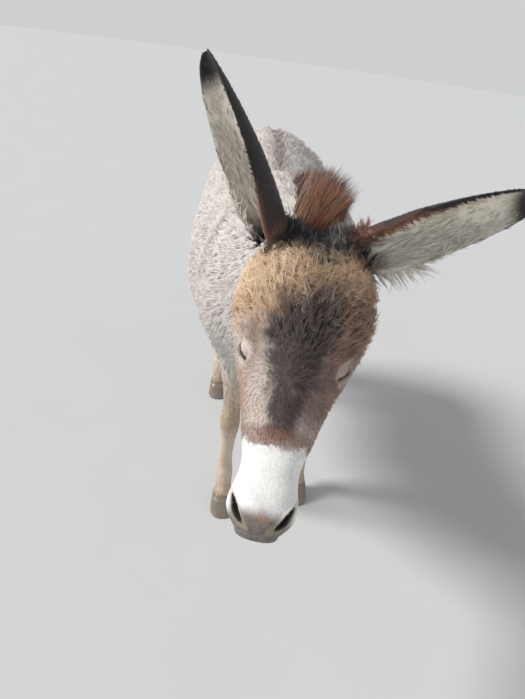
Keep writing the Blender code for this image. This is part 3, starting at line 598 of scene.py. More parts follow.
def nostril_edge(along, across, out):
    """(u/l)^2 + (v/h)^2 along a comma: 1 on the edge of the nostril and 0 in its middle."""
    u = along - NOSTRIL_ALONG
    v = (across - NOSTRIL_ACROSS) * 0.72 - (out - NOSTRIL_OUT) * 0.69
    v = v + 0.22 * u + 12.0 * u**2 * np.sign(u)
    half = 0.0065 + 0.10 * np.clip(u + 0.01, 0, 0.02)
    return (u / 0.0205) ** 2 + (v / half) ** 2


def by_nostril(along, across, out):
    """Whether a place is beside the nostril of the side across is counted to."""
    return (across > 0.012) & (out > -0.085) & (np.abs(along - NOSTRIL_ALONG) < 0.04)


def nostrils(points):
    """A pit sunk by depth * ramp(edge), and a rim raised by height * exp(-((sqrt edge - 1.35) / 0.3)^2)."""
    along, across, out = head_place(points).T
    for side in (-1, 1):
        inward = unit(-0.30 * FORWARD - side * 0.60 * HEAD_SIDE - 0.60 * BROW)
        from_edge = nostril_edge(along, side * across, out)
        near = by_nostril(along, side * across, out)
        pit = PIT_DEPTH * ramp(from_edge, 1.05, 0.10) * near
        rim = NOSTRIL_RIM * bell(np.sqrt(from_edge), 1.35, 0.30) * near
        points += (pit - rim)[:, None] * inward
    return points


def mouth(points):
    """A groove pushed in by g exp(-((out - line) / w)^2) along the seam of the lips, round the front too."""
    along, across, out = head_place(points).T
    line = SEAM_OUT - 0.10 * np.clip(0.43 - along, 0, 0.05)
    depth = SEAM_DEPTH * bell(out, line, SEAM_WIDTH) * ramp(along, 0.378, 0.400)
    towards = on_head(np.minimum(along, 0.42), 0 * along, line) - points
    return points + depth[:, None] * unit(towards)


def shod(points):
    """Each leg's end drawn in by a quarter of its offset from its hoof's middle, to lie under the horn."""
    fore = [(x, y - FORE_TOE) for x, y in FORE_FEET.values()]
    hind = [(x, y - HIND_TOE) for x, y in HIND_FEET.values()]
    for middle in fore + hind:
        offset = points[:, :2] - middle
        drawn = 0.25 * (np.hypot(*offset.T) < 0.06) * ramp(points[:, 2], CORONET + 0.001, CORONET - 0.008)
        points[:, :2] -= drawn[:, None] * offset
    return points


skin_points = read(skin.data.vertices, "co", 3)
skin_points = shod(mouth(nostrils(lids(skin_points))))
skin.data.vertices.foreach_set("co", skin_points.astype(np.float32).ravel())
skin.data.update()


# ------------------------------------------------------------------ skin, the ears
# Two long leaves of gristle rolled into troughs. The right one stands up and opens sideways, the left one is
# held out level and opens to the front. They are grown into the skin, so that it stays one piece.
class Ear:
    """A rolled leaf: spine + radius * opening, less (radius - inset) * (cos, sin) of the turn from the spine.

    The turn is -1 to 1 across the leaf, and front is the sign it has on the edge that is towards the face.
    """

    SHARE = (0.00, 0.12, 0.30, 0.50, 0.68, 0.82, 0.91, 0.95, 0.975, 0.99, 1.0)
    HALF_WIDTH = (0.080, 0.084, 0.083, 0.075, 0.062, 0.049, 0.036, 0.0285, 0.021, 0.014, 0.007)
    HALF_ROLL = (150, 128, 98, 84, 74, 66, 59, 55, 50, 46, 45)
    WALL = (0.012, 0.011, 0.009, 0.008, 0.008, 0.007, 0.006, 0.0055, 0.0055, 0.0055, 0.0055)
    BOW = 0.010

    def __init__(self, base, axis, opening, length, front, broad=1.0, rolled=(1.0, 1.0)):
        self.base, self.axis, self.length, self.front = base, axis, length, front
        self.broad, self.rolled = broad, rolled
        opening = np.asarray(opening, float)
        self.opening = unit(opening - (opening @ axis) * axis)
        self.across = np.cross(self.axis, self.opening)

    def section(self, share):
        """Roll, radius and the spine's point at each share of the length."""
        roll = np.radians(np.interp(share, self.SHARE, self.HALF_ROLL))
        roll = roll * np.interp(share, (0.0, 0.5), self.rolled)
        radius = self.broad * np.interp(share, self.SHARE, self.HALF_WIDTH) / roll
        bow = self.BOW * np.sin(math.pi * np.clip(share, 0, 1))
        spine = self.base + (share * self.length)[..., None] * self.axis
        return roll, radius, spine - bow[..., None] * self.opening

    def point(self, share, turn, inset):
        """The point at a share of the length and a turn, inset from the back."""
        roll, radius, spine = self.section(share)
        angle, inner = turn * roll, radius - inset
        sideways = (inner * np.sin(angle))[..., None] * self.across
        return spine + (radius - inner * np.cos(angle))[..., None] * self.opening + sideways

    def locate(self, points):
        """The inverse of point: share, turn and inset."""
        share = (points - self.base) @ self.axis / self.length
        roll, radius, spine = self.section(share)
        offset = points - spine
        x, y = offset @ self.across, radius - offset @ self.opening
        return share, np.arctan2(x, y) / roll, radius - np.hypot(x, y)

    def places(self, points):
        """Share, turn, whether each point is on the lining, and whether it is on this ear at all."""
        share, turn, inset = self.locate(points)
        wall = np.interp(share, self.SHARE, self.WALL)
        here = (share > 0.03) & (share < 1.05) & (np.abs(turn) < 1.15)
        here &= (inset > -0.006) & (inset < wall + 0.005)
        return share, turn, inset > 0.55 * wall, here


EARS = {
    "right": Ear(EAR_BASES[-1], RIGHT_EAR_AXIS, (-0.914, -0.407, 0.0), 0.300, 1, broad=1.12),
    "left": Ear(EAR_BASES[1], LEFT_EAR_AXIS, (-0.05, -0.95, -0.30), 0.320, -1, rolled=(0.70, 0.86)),
}
EAR_BACK_HAIR, EAR_LINING = 0.0025, 0.0010  # how deep the skin lies under the hair


def ear_skin(ear, rows=46, columns=19):
    """Back and lining of the leaf as one ring at each share of its length, with a rounded edge."""
    share = 0.995 * (1 - (1 - np.linspace(0, 1, rows)) ** 1.35)
    s, t = np.meshgrid(share, np.linspace(-1, 1, columns), indexing="ij")
    edge = 0.5 * (1 - np.sqrt(np.clip(1 - np.abs(t) ** 6, 0, 1)))
    thick = np.interp(s, ear.SHARE, ear.WALL) - EAR_BACK_HAIR - EAR_LINING
    back = ear.point(s, 0.97 * t, EAR_BACK_HAIR + thick * edge)
    front = ear.point(s, 0.97 * t[:, ::-1], EAR_BACK_HAIR + thick * (1 - edge))[:, 1:-1]
    rings = np.concatenate([back, front], axis=1)
    return mesh_from("ear skin", rings.reshape(-1, 3), tube_faces(*rings.shape[:2]))


for ear in EARS.values():
    leaf = shown(ear_skin(ear), "leaf")
    with_modifier(skin, "BOOLEAN", operation="UNION", object=leaf, solver="EXACT")
    bpy.data.objects.remove(leaf)


# ------------------------------------------------------------------ markings
# A grey donkey in a young coat: pale grey body with a faint dark line on the back and over the shoulders, tan
# forehead with a dark wedge down the nose, white muzzle with a dark lip, near-black poll, and ears lined white.
def dye(red, green, blue):
    """The linear colour of a display colour given from 0 to 255."""
    value = np.array((red, green, blue)) / 255
    return np.where(value > 0.04045, ((value + 0.055) / 1.055) ** 2.4, value / 12.92)


GREY, PALE, BELLY, BACK_LINE = dye(206, 197, 190), dye(226, 219, 212), dye(230, 225, 216), dye(128, 106, 96)
GOLD, TAN, BEIGE, WARM = dye(222, 192, 154), dye(182, 136, 98), dye(196, 179, 169), dye(168, 128, 102)
WEDGE, RUST_RING, WHITE, LIP = dye(54, 43, 41), dye(128, 90, 74), dye(242, 240, 236), dye(82, 70, 60)
UMBER, LID, RUST, NOSTRIL_SHADE = dye(100, 75, 66), dye(208, 194, 184), dye(136, 74, 44), dye(28, 22, 20)
POLL_DARK, NOSTRIL_EDGE, LEG, KNEE = dye(38, 33, 35), dye(176, 160, 126), dye(212, 196, 176), dye(160, 128, 98)
EAR_BLACK, EAR_WHITE = dye(34, 28, 28), dye(238, 230, 214)


def over(under, *coats):
    """Colours laid over each other, given as colour, share, colour, share: under (1 - share) + colour share."""
    for colour, share in zip(coats[::2], coats[1::2]):
        under = under * (1 - share[:, None]) + colour * share[:, None]
    return under


def mottle(points, size, seed=0):
    """A soft irregular value from -1 to 1: products of sines of the place over size, at turned axes."""
    axes = unit(np.array(((1.0, 0.4, 0.2), (-0.3, 1.0, 0.5), (0.2, -0.6, 1.0))))
    x, y, z = ((points / size) @ axes.T).T + seed
    wave = np.sin(x + 1.7 * np.sin(0.7 * y)) * np.sin(y + 1.3 * np.sin(0.9 * z))
    return np.clip((wave + 0.5 * np.sin(2.1 * z + x) * np.sin(1.9 * y - z)) / 1.2, -1, 1)


def ear_colour(share, front, inner):
    """Black back and tip, white lining with rust and black along its front edge; front is -1 to 1 across it."""
    back = over(
        EAR_BLACK,
        RUST, 0.7 * ramp(share, 0.12, 0.05) * ramp(front, 0.2, 0.7),
        WEDGE, 0.5 * ramp(share, 0.5, 0.2),
    )
    lining = over(
        EAR_WHITE,
        TAN, 0.70 * ramp(front, 0.10, 0.45) * ramp(share, 0.70, 0.30),
        RUST, 0.85 * ramp(front, 0.35, 0.66) * ramp(share, 0.66, 0.36),
        EAR_BLACK, ramp(front, 0.64, 0.86) * ramp(share, 0.14, 0.42),
        EAR_BLACK, 0.7 * ramp(front, -0.92, -1.0) * ramp(share, 0.40, 0.60),
        EAR_BLACK, ramp(share, 0.78, 0.90),
        POLL_DARK, 0.7 * ramp(share, 0.12, 0.04),
    )
    return np.where(inner[:, None], lining, back)


def body_colour(points):
    """Grey with a pale belly, a faint dark cross on back and shoulders, and tan legs with darker knees."""
    x, y, z = points.T
    shoulder = 0.045 + 0.10 * np.clip(1.02 - z, 0, 1)
    body = over(
        GREY,
        PALE, 0.55 * (1 + mottle(points, 0.060)) * 0.5,
        BELLY, ramp(np.clip((z - 0.50) / 0.55, 0, 1), 0.35, 0.08),
        BACK_LINE, 0.75 * bell(x, 0, 0.014) * ramp(y, -0.10, 0.0) * ramp(z, 0.86, 0.97),
        BACK_LINE, 0.55 * bell(y, shoulder, 0.014) * ramp(z, 0.72, 0.86),
    )
    leg = over(
        LEG,
        KNEE, 0.65 * bell(z, 0.34, 0.055) + 0.45 * bell(z, 0.075, 0.03),
        KNEE, 0.35 * np.clip(mottle(points, 0.035, 2), 0, 1),
    )
    return over(body, leg, ramp(z, 0.56, 0.44) * ramp(y, 0.89, 0.87), PALE, 0.4 * ramp(y, -0.05, -0.25))


def face_colour(points):
    """Pinkish grey with a golden crown tanner on the left, a dark wedge down the nose, a dark patch on the left,
    both partly painted shade, a painted highlight on the whorl, and a rust band.
    """
    along, across, out = head_place(points).T
    wide, centre = np.abs(across), across - 0.001
    turned = np.arctan2(wide, np.maximum(out + 0.085, 0.002))
    crown = over(
        GOLD,
        # Partly painted shade: the crown turns tanner towards its left side, which is turned away from the
        # light.
        TAN, np.clip(0.35 + 0.6 * mottle(points, 0.016, 1) + 3.0 * across, 0, 1),
        TAN, 0.6 * bell(along, 0.155, 0.03) * ramp(out, -0.09, -0.05),
        PALE, 0.80 * ramp(out, -0.060, -0.110),
    )
    # A dark brown patch on the left half of the face: partly a real marking, partly painted shade of the side
    # turned away from the light.
    dusky_and_painted_shade = ramp(across, -0.008, 0.012) * ramp(along, 0.072, 0.115)
    dusky_and_painted_shade = dusky_and_painted_shade * ramp(along, 0.345, 0.28) * ramp(turned, 1.55, 1.15)
    stations = (0.10, 0.14, 0.19, 0.22, 0.25, 0.30, 0.345)
    edge = np.interp(along, stations, (0.030, 0.044, 0.046, 0.040, 0.033, 0.026, 0.018))
    edge = edge * (1 + 0.22 * mottle(points, 0.011, 3))
    wedge = ramp(np.abs(centre) - edge, 0.012, -0.010) * ramp(along, 0.095, 0.150) * ramp(along, 0.352, 0.335)
    # Painted highlight: a lighter streak on the hair of the whorl down the middle of the nose.
    painted_whorl_highlight = bell(centre, 0.010, 0.012) * bell(along, 0.255, 0.022) * np.clip(mottle(points, 0.006, 4), 0, 1)
    band = ramp(along, 0.322, 0.338) * ramp(turned, 1.5, 0.9) * (0.55 + 0.45 * bell(across, 0, 0.028))
    return over(
        BEIGE,
        WARM, 0.75 * ramp(turned, 0.62, 1.15) * ramp(along, 0.20, 0.27),
        PALE, 0.85 * ramp(out, -0.085, -0.125),
        crown, ramp(along, 0.205, 0.135),
        over(UMBER, WARM, 0.55 * ramp(turned, 0.5, 1.2)), 0.82 * dusky_and_painted_shade,
        RUST_RING, 0.55 * bell(wide, 0.068, 0.014) * bell(along, 0.188, 0.020) * ramp(out, -0.06, -0.03),
        WEDGE, 0.92 * wedge * ramp(out, -0.07, -0.03),
        BEIGE, 0.45 * painted_whorl_highlight,
        RUST_RING, 0.85 * band,
    )


def with_eyes(face, points):
    """Pale lids under a rust brow, a dark line where they meet, and the tear line."""
    for side, eye in EYES.items():
        _, fore, up = eye_bearings(side)
        u, v = (points - eye) @ fore, (points - eye) @ up
        ring = np.hypot(u / 1.25, v)
        near = ramp(np.linalg.norm(points - eye, axis=1), 0.06, 0.04)
        line = np.abs(above_slit(u, v)) / np.clip(1 - (u / 0.0225) ** 2, 0.12, 1)
        face = over(
            face,
            LID, 0.50 * ramp(ring * (1 + 0.20 * mottle(points, 0.008, 11)), 0.031, 0.012) * near,
            RUST_RING, 0.40 * bell(ring, 0.029, 0.006) * ramp(v, 0.002, 0.012) * near,
            WEDGE, 0.9 * ramp(line, 0.0048, 0.0030) * ramp(np.abs(u), 0.0225, 0.0200) * near,
            UMBER, 0.85 * tear_line(u, v),
        )
    return face


def with_muzzle(face, points):
    """White, with a dark lip, warm between the nostrils, a pale chin, and nostrils with a yellowish edge and
    painted shade inside.
    """
    along, across, out = head_place(points).T
    from_front = along - 0.25 * np.clip(np.abs(across) - 0.025, 0, 1) + 0.10 * np.clip(-0.03 - out, 0, 1)
    warm = bell(across, 0.004, 0.013) * bell(along, 0.463, 0.016) * ramp(mottle(points, 0.007, 12), -0.6, 0.5)
    face = over(
        face,
        WHITE, ramp(along + 0.008 * mottle(points, 0.010, 5), 0.350, 0.361),
        LIP, 0.88 * ramp(from_front, 0.445, 0.468) * (1 - 0.05 * mottle(points, 0.0022, 6)),
        WARM, 0.5 * warm,
        over(PALE, LIP, 0.6 * ramp(along, 0.425, 0.455)), ramp(out, -0.098, -0.108) * ramp(along, 0.35, 0.40),
    )
    for side in (-1, 1):
        from_edge = nostril_edge(along, side * across, out)
        near = by_nostril(along, side * across, out)
        face = over(
            face,
            NOSTRIL_EDGE, 0.55 * bell(np.sqrt(from_edge), 1.25, 0.28) * near,
            # Painted shade: the inside of each nostril is made near black.
            NOSTRIL_SHADE, ramp(from_edge, 1.15, 0.75) * near,
        )
    return face


def coat_colour(points):
    """The coat's colour at places on the skin, from where they lie along the head, body, legs and ears."""
    x, y, z = points.T
    along, across, out = head_place(points).T
    face = with_muzzle(with_eyes(face_colour(points), points), points)
    by_ears = 0.7 * bell(np.abs(across), 0.062, 0.016) * ramp(mottle(points, 0.02, 7), -0.6, 0.4)
    face = over(face, over(POLL_DARK, RUST, by_ears), ramp(along, 0.052, 0.030) * ramp(out, -0.090, -0.055))
    under_mane = 0.85 * ramp(y, -0.30, -0.34) * bell(x, -0.024, 0.030) * ramp(z, 1.00, 1.03)
    colour = over(body_colour(points), face, head_share(points), POLL_DARK, under_mane)
    for ear in EARS.values():
        share, turn, lining, here = ear.places(points)
        colour[here] = ear_colour(share[here], ear.front * turn[here], lining[here])
    return np.clip(colour, 0, 1)


def markings_on(mesh, colours):
    """Keeps the colours with the mesh, one for each vertex."""
    attribute = mesh.attributes.new("markings", "FLOAT_COLOR", "POINT")
    opaque = np.concatenate([colours, np.ones((len(colours), 1))], 1)
    attribute.data.foreach_set("color", opaque.astype(np.float32).ravel())


def hair_lie(points, outward):
    """The way the hair lies: out from the whorl on the nose, back and down the body, down legs and tail."""
    along, across, out = head_place(points).T
    side = ramp(out, -0.02, -0.10)[:, None]
    whorl = (along - 0.255)[:, None] * FORWARD + across[:, None] * HEAD_SIDE * 0.9
    jaw = -0.35 * FORWARD - 0.9 * BROW + ramp(along, 0.22, 0.34)[:, None] * 1.0 * FORWARD
    face = unit(whorl) * (1 - side) + side * unit(jaw)
    x, y, z = points.T
    low = np.clip((1.0 - z) / 0.4, 0, 1)[:, None]
    parted = 0.5 * np.sign(x)[:, None] * ramp(z, 0.92, 1.0)[:, None]
    body = np.array((0, 1.0, -0.12)) + low * np.array((0, -0.25, -0.55)) + parted * np.array((0.5, 0, 0))
    on_neck = ramp(y, 0.02, -0.15)[:, None]
    body = body * (1 - on_neck) + np.array((0, 0.75, -0.65)) * on_neck
    down = np.maximum(ramp(z, 0.60, 0.48), ramp(y, 0.86, 0.885))[:, None]
    body = body * (1 - down) + np.array((0, 0.08, -1.0)) * down
    share = head_share(points)[:, None]
    lie = unit(body) * (1 - share) + face * share
    for ear in EARS.values():
        lie[ear.places(points)[3]] = ear.axis
    return flat_on(lie, outward)


# ------------------------------------------------------------------ skin, its own look
# The skin joins the figure in place of the flesh it was grown for. It carries the markings, with fine streaks
# close up. The helpers that make its look and finish it also serve every other piece.
def plug(tree, value, socket):
    """Links the output of a node to the socket, or sets the socket to a value."""
    if isinstance(value, bpy.types.NodeSocket):
        tree.links.new(value, socket)
    else:
        socket.default_value = value


def node(tree, kind, output, inputs=None, **settings):
    """One output of a new node, with its inputs given by name as values or as other nodes' outputs."""
    made = tree.nodes.new("ShaderNode" + kind)
    for setting, value in settings.items():
        setattr(made, setting, value)
    for socket, value in (inputs or {}).items():
        plug(tree, value, made.inputs[socket])
    return made.outputs[output]


def noise(tree, place, scale, detail=3.0):
    """A cloudy value from 0 to 1, with scale clouds to the metre."""
    return node(tree, "TexNoise", "Fac", {"Vector": place, "Scale": scale, "Detail": detail})


def stretched(tree, place, scale):
    """The place times scale, axis by axis."""
    return node(tree, "Mapping", "Vector", {"Vector": place, "Scale": scale})


def graded(tree, value, *stops):
    """A ramp of colours over a value, given as places and linear colours."""
    made = tree.nodes.new("ShaderNodeValToRGB")
    while len(made.color_ramp.elements) < len(stops):
        made.color_ramp.elements.new(0.5)
    for element, (place, colour) in zip(made.color_ramp.elements, stops):
        element.position = place
        element.color = (*colour, 1.0)
    tree.links.new(value, made.inputs["Fac"])
    return made.outputs["Color"]


def greys(tree, value, low, high):
    """A ramp from grey to grey over the middle half of a value."""
    return graded(tree, value, (0.25, (low,) * 3), (0.75, (high,) * 3))


def tinted(tree, colour, by):
    """colour * by, as a multiply mix."""
    inputs = {"Factor": 1.0, "A": colour, "B": by}
    return node(tree, "Mix", "Result", inputs, data_type="RGBA", blend_type="MULTIPLY")


def marked(tree, by):
    """The mesh's markings times a colour."""
    return tinted(tree, node(tree, "Attribute", "Color", attribute_name="markings"), by)


def bumped(tree, height, distance, strength):
    """The normal over a relief of this height in metres."""
    return node(tree, "Bump", "Normal", {"Height": height, "Distance": distance, "Strength": strength})


def shaded(tree, inputs):
    """Gives the shader of a material its inputs."""
    for socket, value in inputs.items():
        plug(tree, value, tree.nodes["Principled BSDF"].inputs[socket])


def material(name, roughness, sheen=0.0, coat=0.0):
    """A principled material, with its node tree and the place on the object."""
    made = bpy.data.materials.new(name)
    made.use_nodes = True
    shaded(made.node_tree, {"Roughness": roughness, "Sheen Weight": sheen, "Coat Weight": coat})
    return made, made.node_tree, node(made.node_tree, "TexCoord", "Object")


def hair_material(name, roughness=0.62, sheen=0.10):
    """The strands' own colours, a little lighter and darker from place to place along them."""
    made, tree, place = material(name, roughness, sheen)
    colour = marked(tree, greys(tree, noise(tree, place, 90.0), 0.84, 1.10))
    normal = bumped(tree, noise(tree, place, 900.0, 2.0), 0.0002, 0.5)
    shaded(tree, {"Base Color": colour, "Normal": normal})
    return made


def finished(made, look, slot_name, *replaced):
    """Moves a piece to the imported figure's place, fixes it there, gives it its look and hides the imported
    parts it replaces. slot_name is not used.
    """
    made.data.transform(Matrix.Translation(MOVED))
    made.data.materials.clear()
    made.data.materials.append(look)
    if not made.data.has_custom_normals:
        made.data.shade_smooth()
    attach(made, "root")
    if replaced:
        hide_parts(*replaced)


points = read(skin.data.vertices, "co", 3)
outward = read(skin.data.vertex_normals, "vector", 3)
markings_on(skin.data, coat_colour(points))
hide, tree, place = material("hide under the coat", 0.72, sheen=0.12)
streaks = noise(tree, stretched(tree, place, (1.0, 0.42, 0.42)), 620.0, 4.0)
shade = tinted(tree, greys(tree, streaks, 0.80, 1.10), greys(tree, noise(tree, place, 34.0), 0.90, 1.06))
shaded(tree, {"Base Color": marked(tree, shade), "Normal": bumped(tree, streaks, 0.0008, 0.6)})
finished(
    skin, hide, "body_coat", "head", "neck", "trunk", "foreleg_left", "foreleg_right",
    "hindleg_left", "hindleg_right", "ear_left", "ear_right", "tail",
)


# ------------------------------------------------------------------ coat, how a tuft is made
# The hair stands in tufts: a few strands rooted side by side in the skin, lying along the body over the roots of
# the next ones and closing to a common tip. A strand is a closed three-sided spike, and no two tufts have quite
# the same shade.
ROOT_DEPTH = 0.0012  # how far under the skin a strand starts
FLATNESS = 0.55  # a strand's height over its width
PATCH = 0.003  # a strand's share of the unwrap


def spike_faces(rings):
    """Triangles of a closed three-sided spike: root, walls from ring to ring, and tip."""
    corner = np.arange(3)
    after = (corner + 1) % 3
    faces = [[(2, 1, 0)]]
    for i in range(0, 3 * rings - 3, 3):
        faces.append(np.stack([i + corner, i + after, i + 3 + after], 1))
        faces.append(np.stack([i + corner, i + 3 + after, i + 3 + corner], 1))
    last = 3 * rings - 3
    faces.append(np.stack([last + corner, last + after, np.full(3, last + 3)], 1))
    return np.concatenate(faces)


def triangle_mesh(name, points, faces):
    """A mesh of triangles, from arrays."""
    mesh = bpy.data.meshes.new(name)
    mesh.vertices.add(len(points))
    mesh.vertices.foreach_set("co", points.astype(np.float32).ravel())
    mesh.loops.add(faces.size)
    mesh.loops.foreach_set("vertex_index", faces.astype(np.int32).ravel())
    mesh.polygons.add(len(faces))
    mesh.polygons.foreach_set("loop_start", np.arange(0, faces.size, 3, dtype=np.int32))
    mesh.update(calc_edges=True)
    return mesh


def tufts(
    name, root, outward, lie, base, tip, wrap, length, lift, width, seed,
    spread=0.004, strands=4, rings=3, curl=0.0, turns=1.0, droop=0.45, close=0.7, sag=1.0,
):
    """A piece made of a tuft at each root. The middle of a strand, with t from 0 at the root to 1 at the tip, is

    root + spot (1 - close t) + L (cos a t + sag (1 - cos a) t^2) lie + L sin a (t - droop t^2) outward
    + curl L t (sin(2 pi turns t + phase) side + 0.6 cos(2 pi turns t + phase) outward)

    for the length L, the lift a, and the spot where the strand stands beside its root.
    """
    dice = np.random.default_rng(seed)
    count = len(root)
    each = (count, strands)
    length, lift, width, spread, curl = (
        np.broadcast_to(np.asarray(v, float).reshape(-1, 1), each) for v in (length, lift, width, spread, curl)
    )
    side = np.cross(outward, lie)
    along_lie, sideways, outwards = (v[:, None, None] for v in (lie, side, outward))
    round_ = dice.uniform(0, 2 * math.pi, each)
    away = spread * np.sqrt(dice.uniform(0.05, 1, each))
    spot = (away * np.cos(round_))[..., None] * lie[:, None] + (away * np.sin(round_))[..., None] * side[:, None]
    length = length * dice.uniform(0.72, 1.12, each)
    phase = dice.uniform(0, 2 * math.pi, (count, 1)) + dice.normal(0, 0.45, each)

    t = np.linspace(0, 1, rings + 1)
    cosine, sine = np.cos(lift)[..., None], np.sin(lift)[..., None]
    bent = length[..., None] * (cosine * t + sag * (1 - cosine) * t**2)
    raised = length[..., None] * sine * (t - droop * t**2) - ROOT_DEPTH * (1 - t)
    wave = 2 * math.pi * turns * t + phase[..., None]
    swing = (curl * length)[..., None] * t
    raised = raised + 0.6 * swing * (np.cos(wave) - np.cos(phase)[..., None] * (1 - t))
    spine = root[:, None, None] + spot[:, :, None] * (1 - close * t)[:, None]
    spine = spine + bent[..., None] * along_lie
    spine = spine + raised[..., None] * outwards
    spine = spine + (swing * np.sin(wave))[..., None] * sideways

    run = unit(np.gradient(spine, axis=2))
    flat = unit(sideways - (sideways * run).sum(-1)[..., None] * run)
    upper = np.cross(run, flat)
    upper *= np.sign((upper * outwards).sum(-1)[..., None] + 1e-9)
    thick = (width[..., None] * (1 - 0.75 * t**1.6))[..., None]
    ring = [
        thick * (math.cos(angle) * flat + FLATNESS * math.sin(angle) * upper)
        for angle in (math.pi / 2, math.pi * 7 / 6, math.pi * 11 / 6)
    ]
    ring = spine[..., :rings, None, :] + np.stack(ring, axis=3)[..., :rings, :, :]
    walls = ring.reshape(count * strands, rings * 3, 3)
    points = np.concatenate([walls, spine[..., rings, :].reshape(-1, 1, 3)], axis=1)
    first = np.arange(count * strands)[:, None, None] * (3 * rings + 1)
    faces = (first + spike_faces(rings)).reshape(-1, 3)
    mesh = triangle_mesh(name, points.reshape(-1, 3), faces)

    share = np.append(np.repeat(t[:rings], 3), 1.0)
    tone = dice.normal(1, 0.07, (count, 1, 1)) * dice.normal(1, 0.05, (count, strands, 1))
    tone = tone * (0.84 + 0.20 * ramp(share, 0, 0.6))
    blend = ramp(share, 0.15, 0.95)[:, None]
    colours = (base[:, None, None] * (1 - blend) + tip[:, None, None] * blend) * tone[..., None]
    markings_on(mesh, np.clip(colours.reshape(-1, 3), 0, 1))

    spots = np.stack([np.append(np.tile((0.5, 0.0, 1.0), rings), 0.5), share], 1)
    patch = wrap[:, None, None] + PATCH * spots - PATCH / 2
    patch = np.broadcast_to(patch, (*each, len(share), 2)).reshape(-1, 2)
    unwrap = mesh.uv_layers.new(name="OFBake")
    unwrap.data.foreach_set("uv", patch[faces.ravel()].astype(np.float32).ravel())

    # Light falls on a strand almost as it does on the skin under it, so a tuft is one soft form.
    skinward = np.repeat(outward, strands, 0)[:, None]
    bearing = unit(0.45 * unit(ring - spine[..., :rings, None, :]).reshape(walls.shape) + skinward)
    bearing = np.concatenate([bearing, skinward], axis=1).reshape(-1, 3)
    made = shown(mesh, name)
    mesh.shade_smooth()
    mesh.normals_split_custom_set_from_vertices(bearing.astype(np.float32))
    return made


skin.data.calc_loop_triangles()
corners = np.empty(len(skin.data.loop_triangles) * 3, np.int32)
skin.data.loop_triangles.foreach_get("vertices", corners)
corners = corners.reshape(-1, 3)
middles = points[corners].mean(1)
first, second, third = (points[column] for column in corners.T)
areas = 0.5 * np.linalg.norm(np.cross(second - first, third - first), axis=1)
middle_along, middle_across, middle_out = head_place(middles).T
ear_parts = {name: ear.places(middles) for name, ear in EARS.items()}
on_an_ear = ear_parts["left"][3] | ear_parts["right"][3]
on_the_head = (head_share(middles) > 0.5) & ~on_an_ear
fore_legs, hind_legs = list(FORE_LEGS.values()), list(HIND_LEGS.values())
flesh = {"trunk": [TRUNK], "neck": [NECK], "fore": fore_legs, "hind": hind_legs, "dock": [DOCK]}
flesh_gaps = [np.min([mass.distance(middles) for mass in masses], axis=0) for masses in flesh.values()]
nearest_flesh = np.where(on_an_ear | on_the_head, -1, np.argmin(flesh_gaps, axis=0))


def on_flesh(kind):
    """Where the skin lies over one kind of flesh."""
    return nearest_flesh == list(flesh).index(kind)


def without_hair():
    """The opening between the lids, the nostrils and the line of the mouth."""
    found = (np.abs(middle_out + 0.094) < 0.003) & (middle_along > 0.385) & on_the_head
    for side, eye in EYES.items():
        _, slit_way, lid_way = eye_bearings(side)
        opening = middles - eye
        u, v = opening @ slit_way, opening @ lid_way
        in_slit = (np.abs(above_slit(u, v)) < 0.0040) & (np.abs(u) < 0.0195)
        found |= (np.linalg.norm(opening, axis=1) < 0.026) & in_slit
        inside = nostril_edge(middle_along, side * middle_across, middle_out) < 1.25
        found |= by_nostril(middle_along, side * middle_across, middle_out) & inside
    return found


bare = without_hair()


def scattered(count, weight, seed):
    """count places on the skin, by area times weight and at most one to a cell: where, and which way is out."""
    dice = np.random.default_rng(seed)
    weight = weight * ~bare * 1.0
    total = np.cumsum(areas * weight)
    chosen = np.searchsorted(total, dice.uniform(0, total[-1], 5 * count))
    a, b = dice.uniform(0, 1, (2, len(chosen)))
    a, b = np.where(a + b > 1, 1 - a, a), np.where(a + b > 1, 1 - b, b)
    share = np.stack([1 - a - b, a, b], 1)[..., None]
    place = (points[corners[chosen]] * share).sum(1)
    cell = 1.2 * np.sqrt(total[-1] / count / weight[chosen])
    _, first = np.unique(np.floor(place / cell[:, None]).astype(int), axis=0, return_index=True)
    others = np.setdiff1d(np.arange(len(chosen)), first)
    kept = np.concatenate([dice.permutation(first), others])[:count]
    return place[kept], unit((outward[corners[chosen[kept]]] * share[kept]).sum(1))


def strayed(lie, out, amount, seed):
    """The lie turned about the outward direction by a normal angle."""
    angle = np.random.default_rng(seed).normal(0, 1, len(lie)) * amount
    return np.cos(angle)[:, None] * lie + np.sin(angle)[:, None] * np.cross(out, lie)


# ------------------------------------------------------------------ coat, the body and the legs
# A young donkey's woolly coat: pale grey locks, a few centimetres long on the barrel and neck, lying back and
# down and breaking into points on the back, shorter down the legs until they lie flat above the hooves.
fur = hair_material("woolly grey coat")


def body_length(places):
    """Length of the hair by height above the ground, with longer and shorter patches."""
    heights = (0.06, 0.20, 0.36, 0.50, 0.62, 0.95)
    plain = np.interp(places[:, 2], heights, (0.012, 0.009, 0.011, 0.020, 0.030, 0.034))
    return plain * (1 + 0.18 * mottle(places, 0.045, 8))


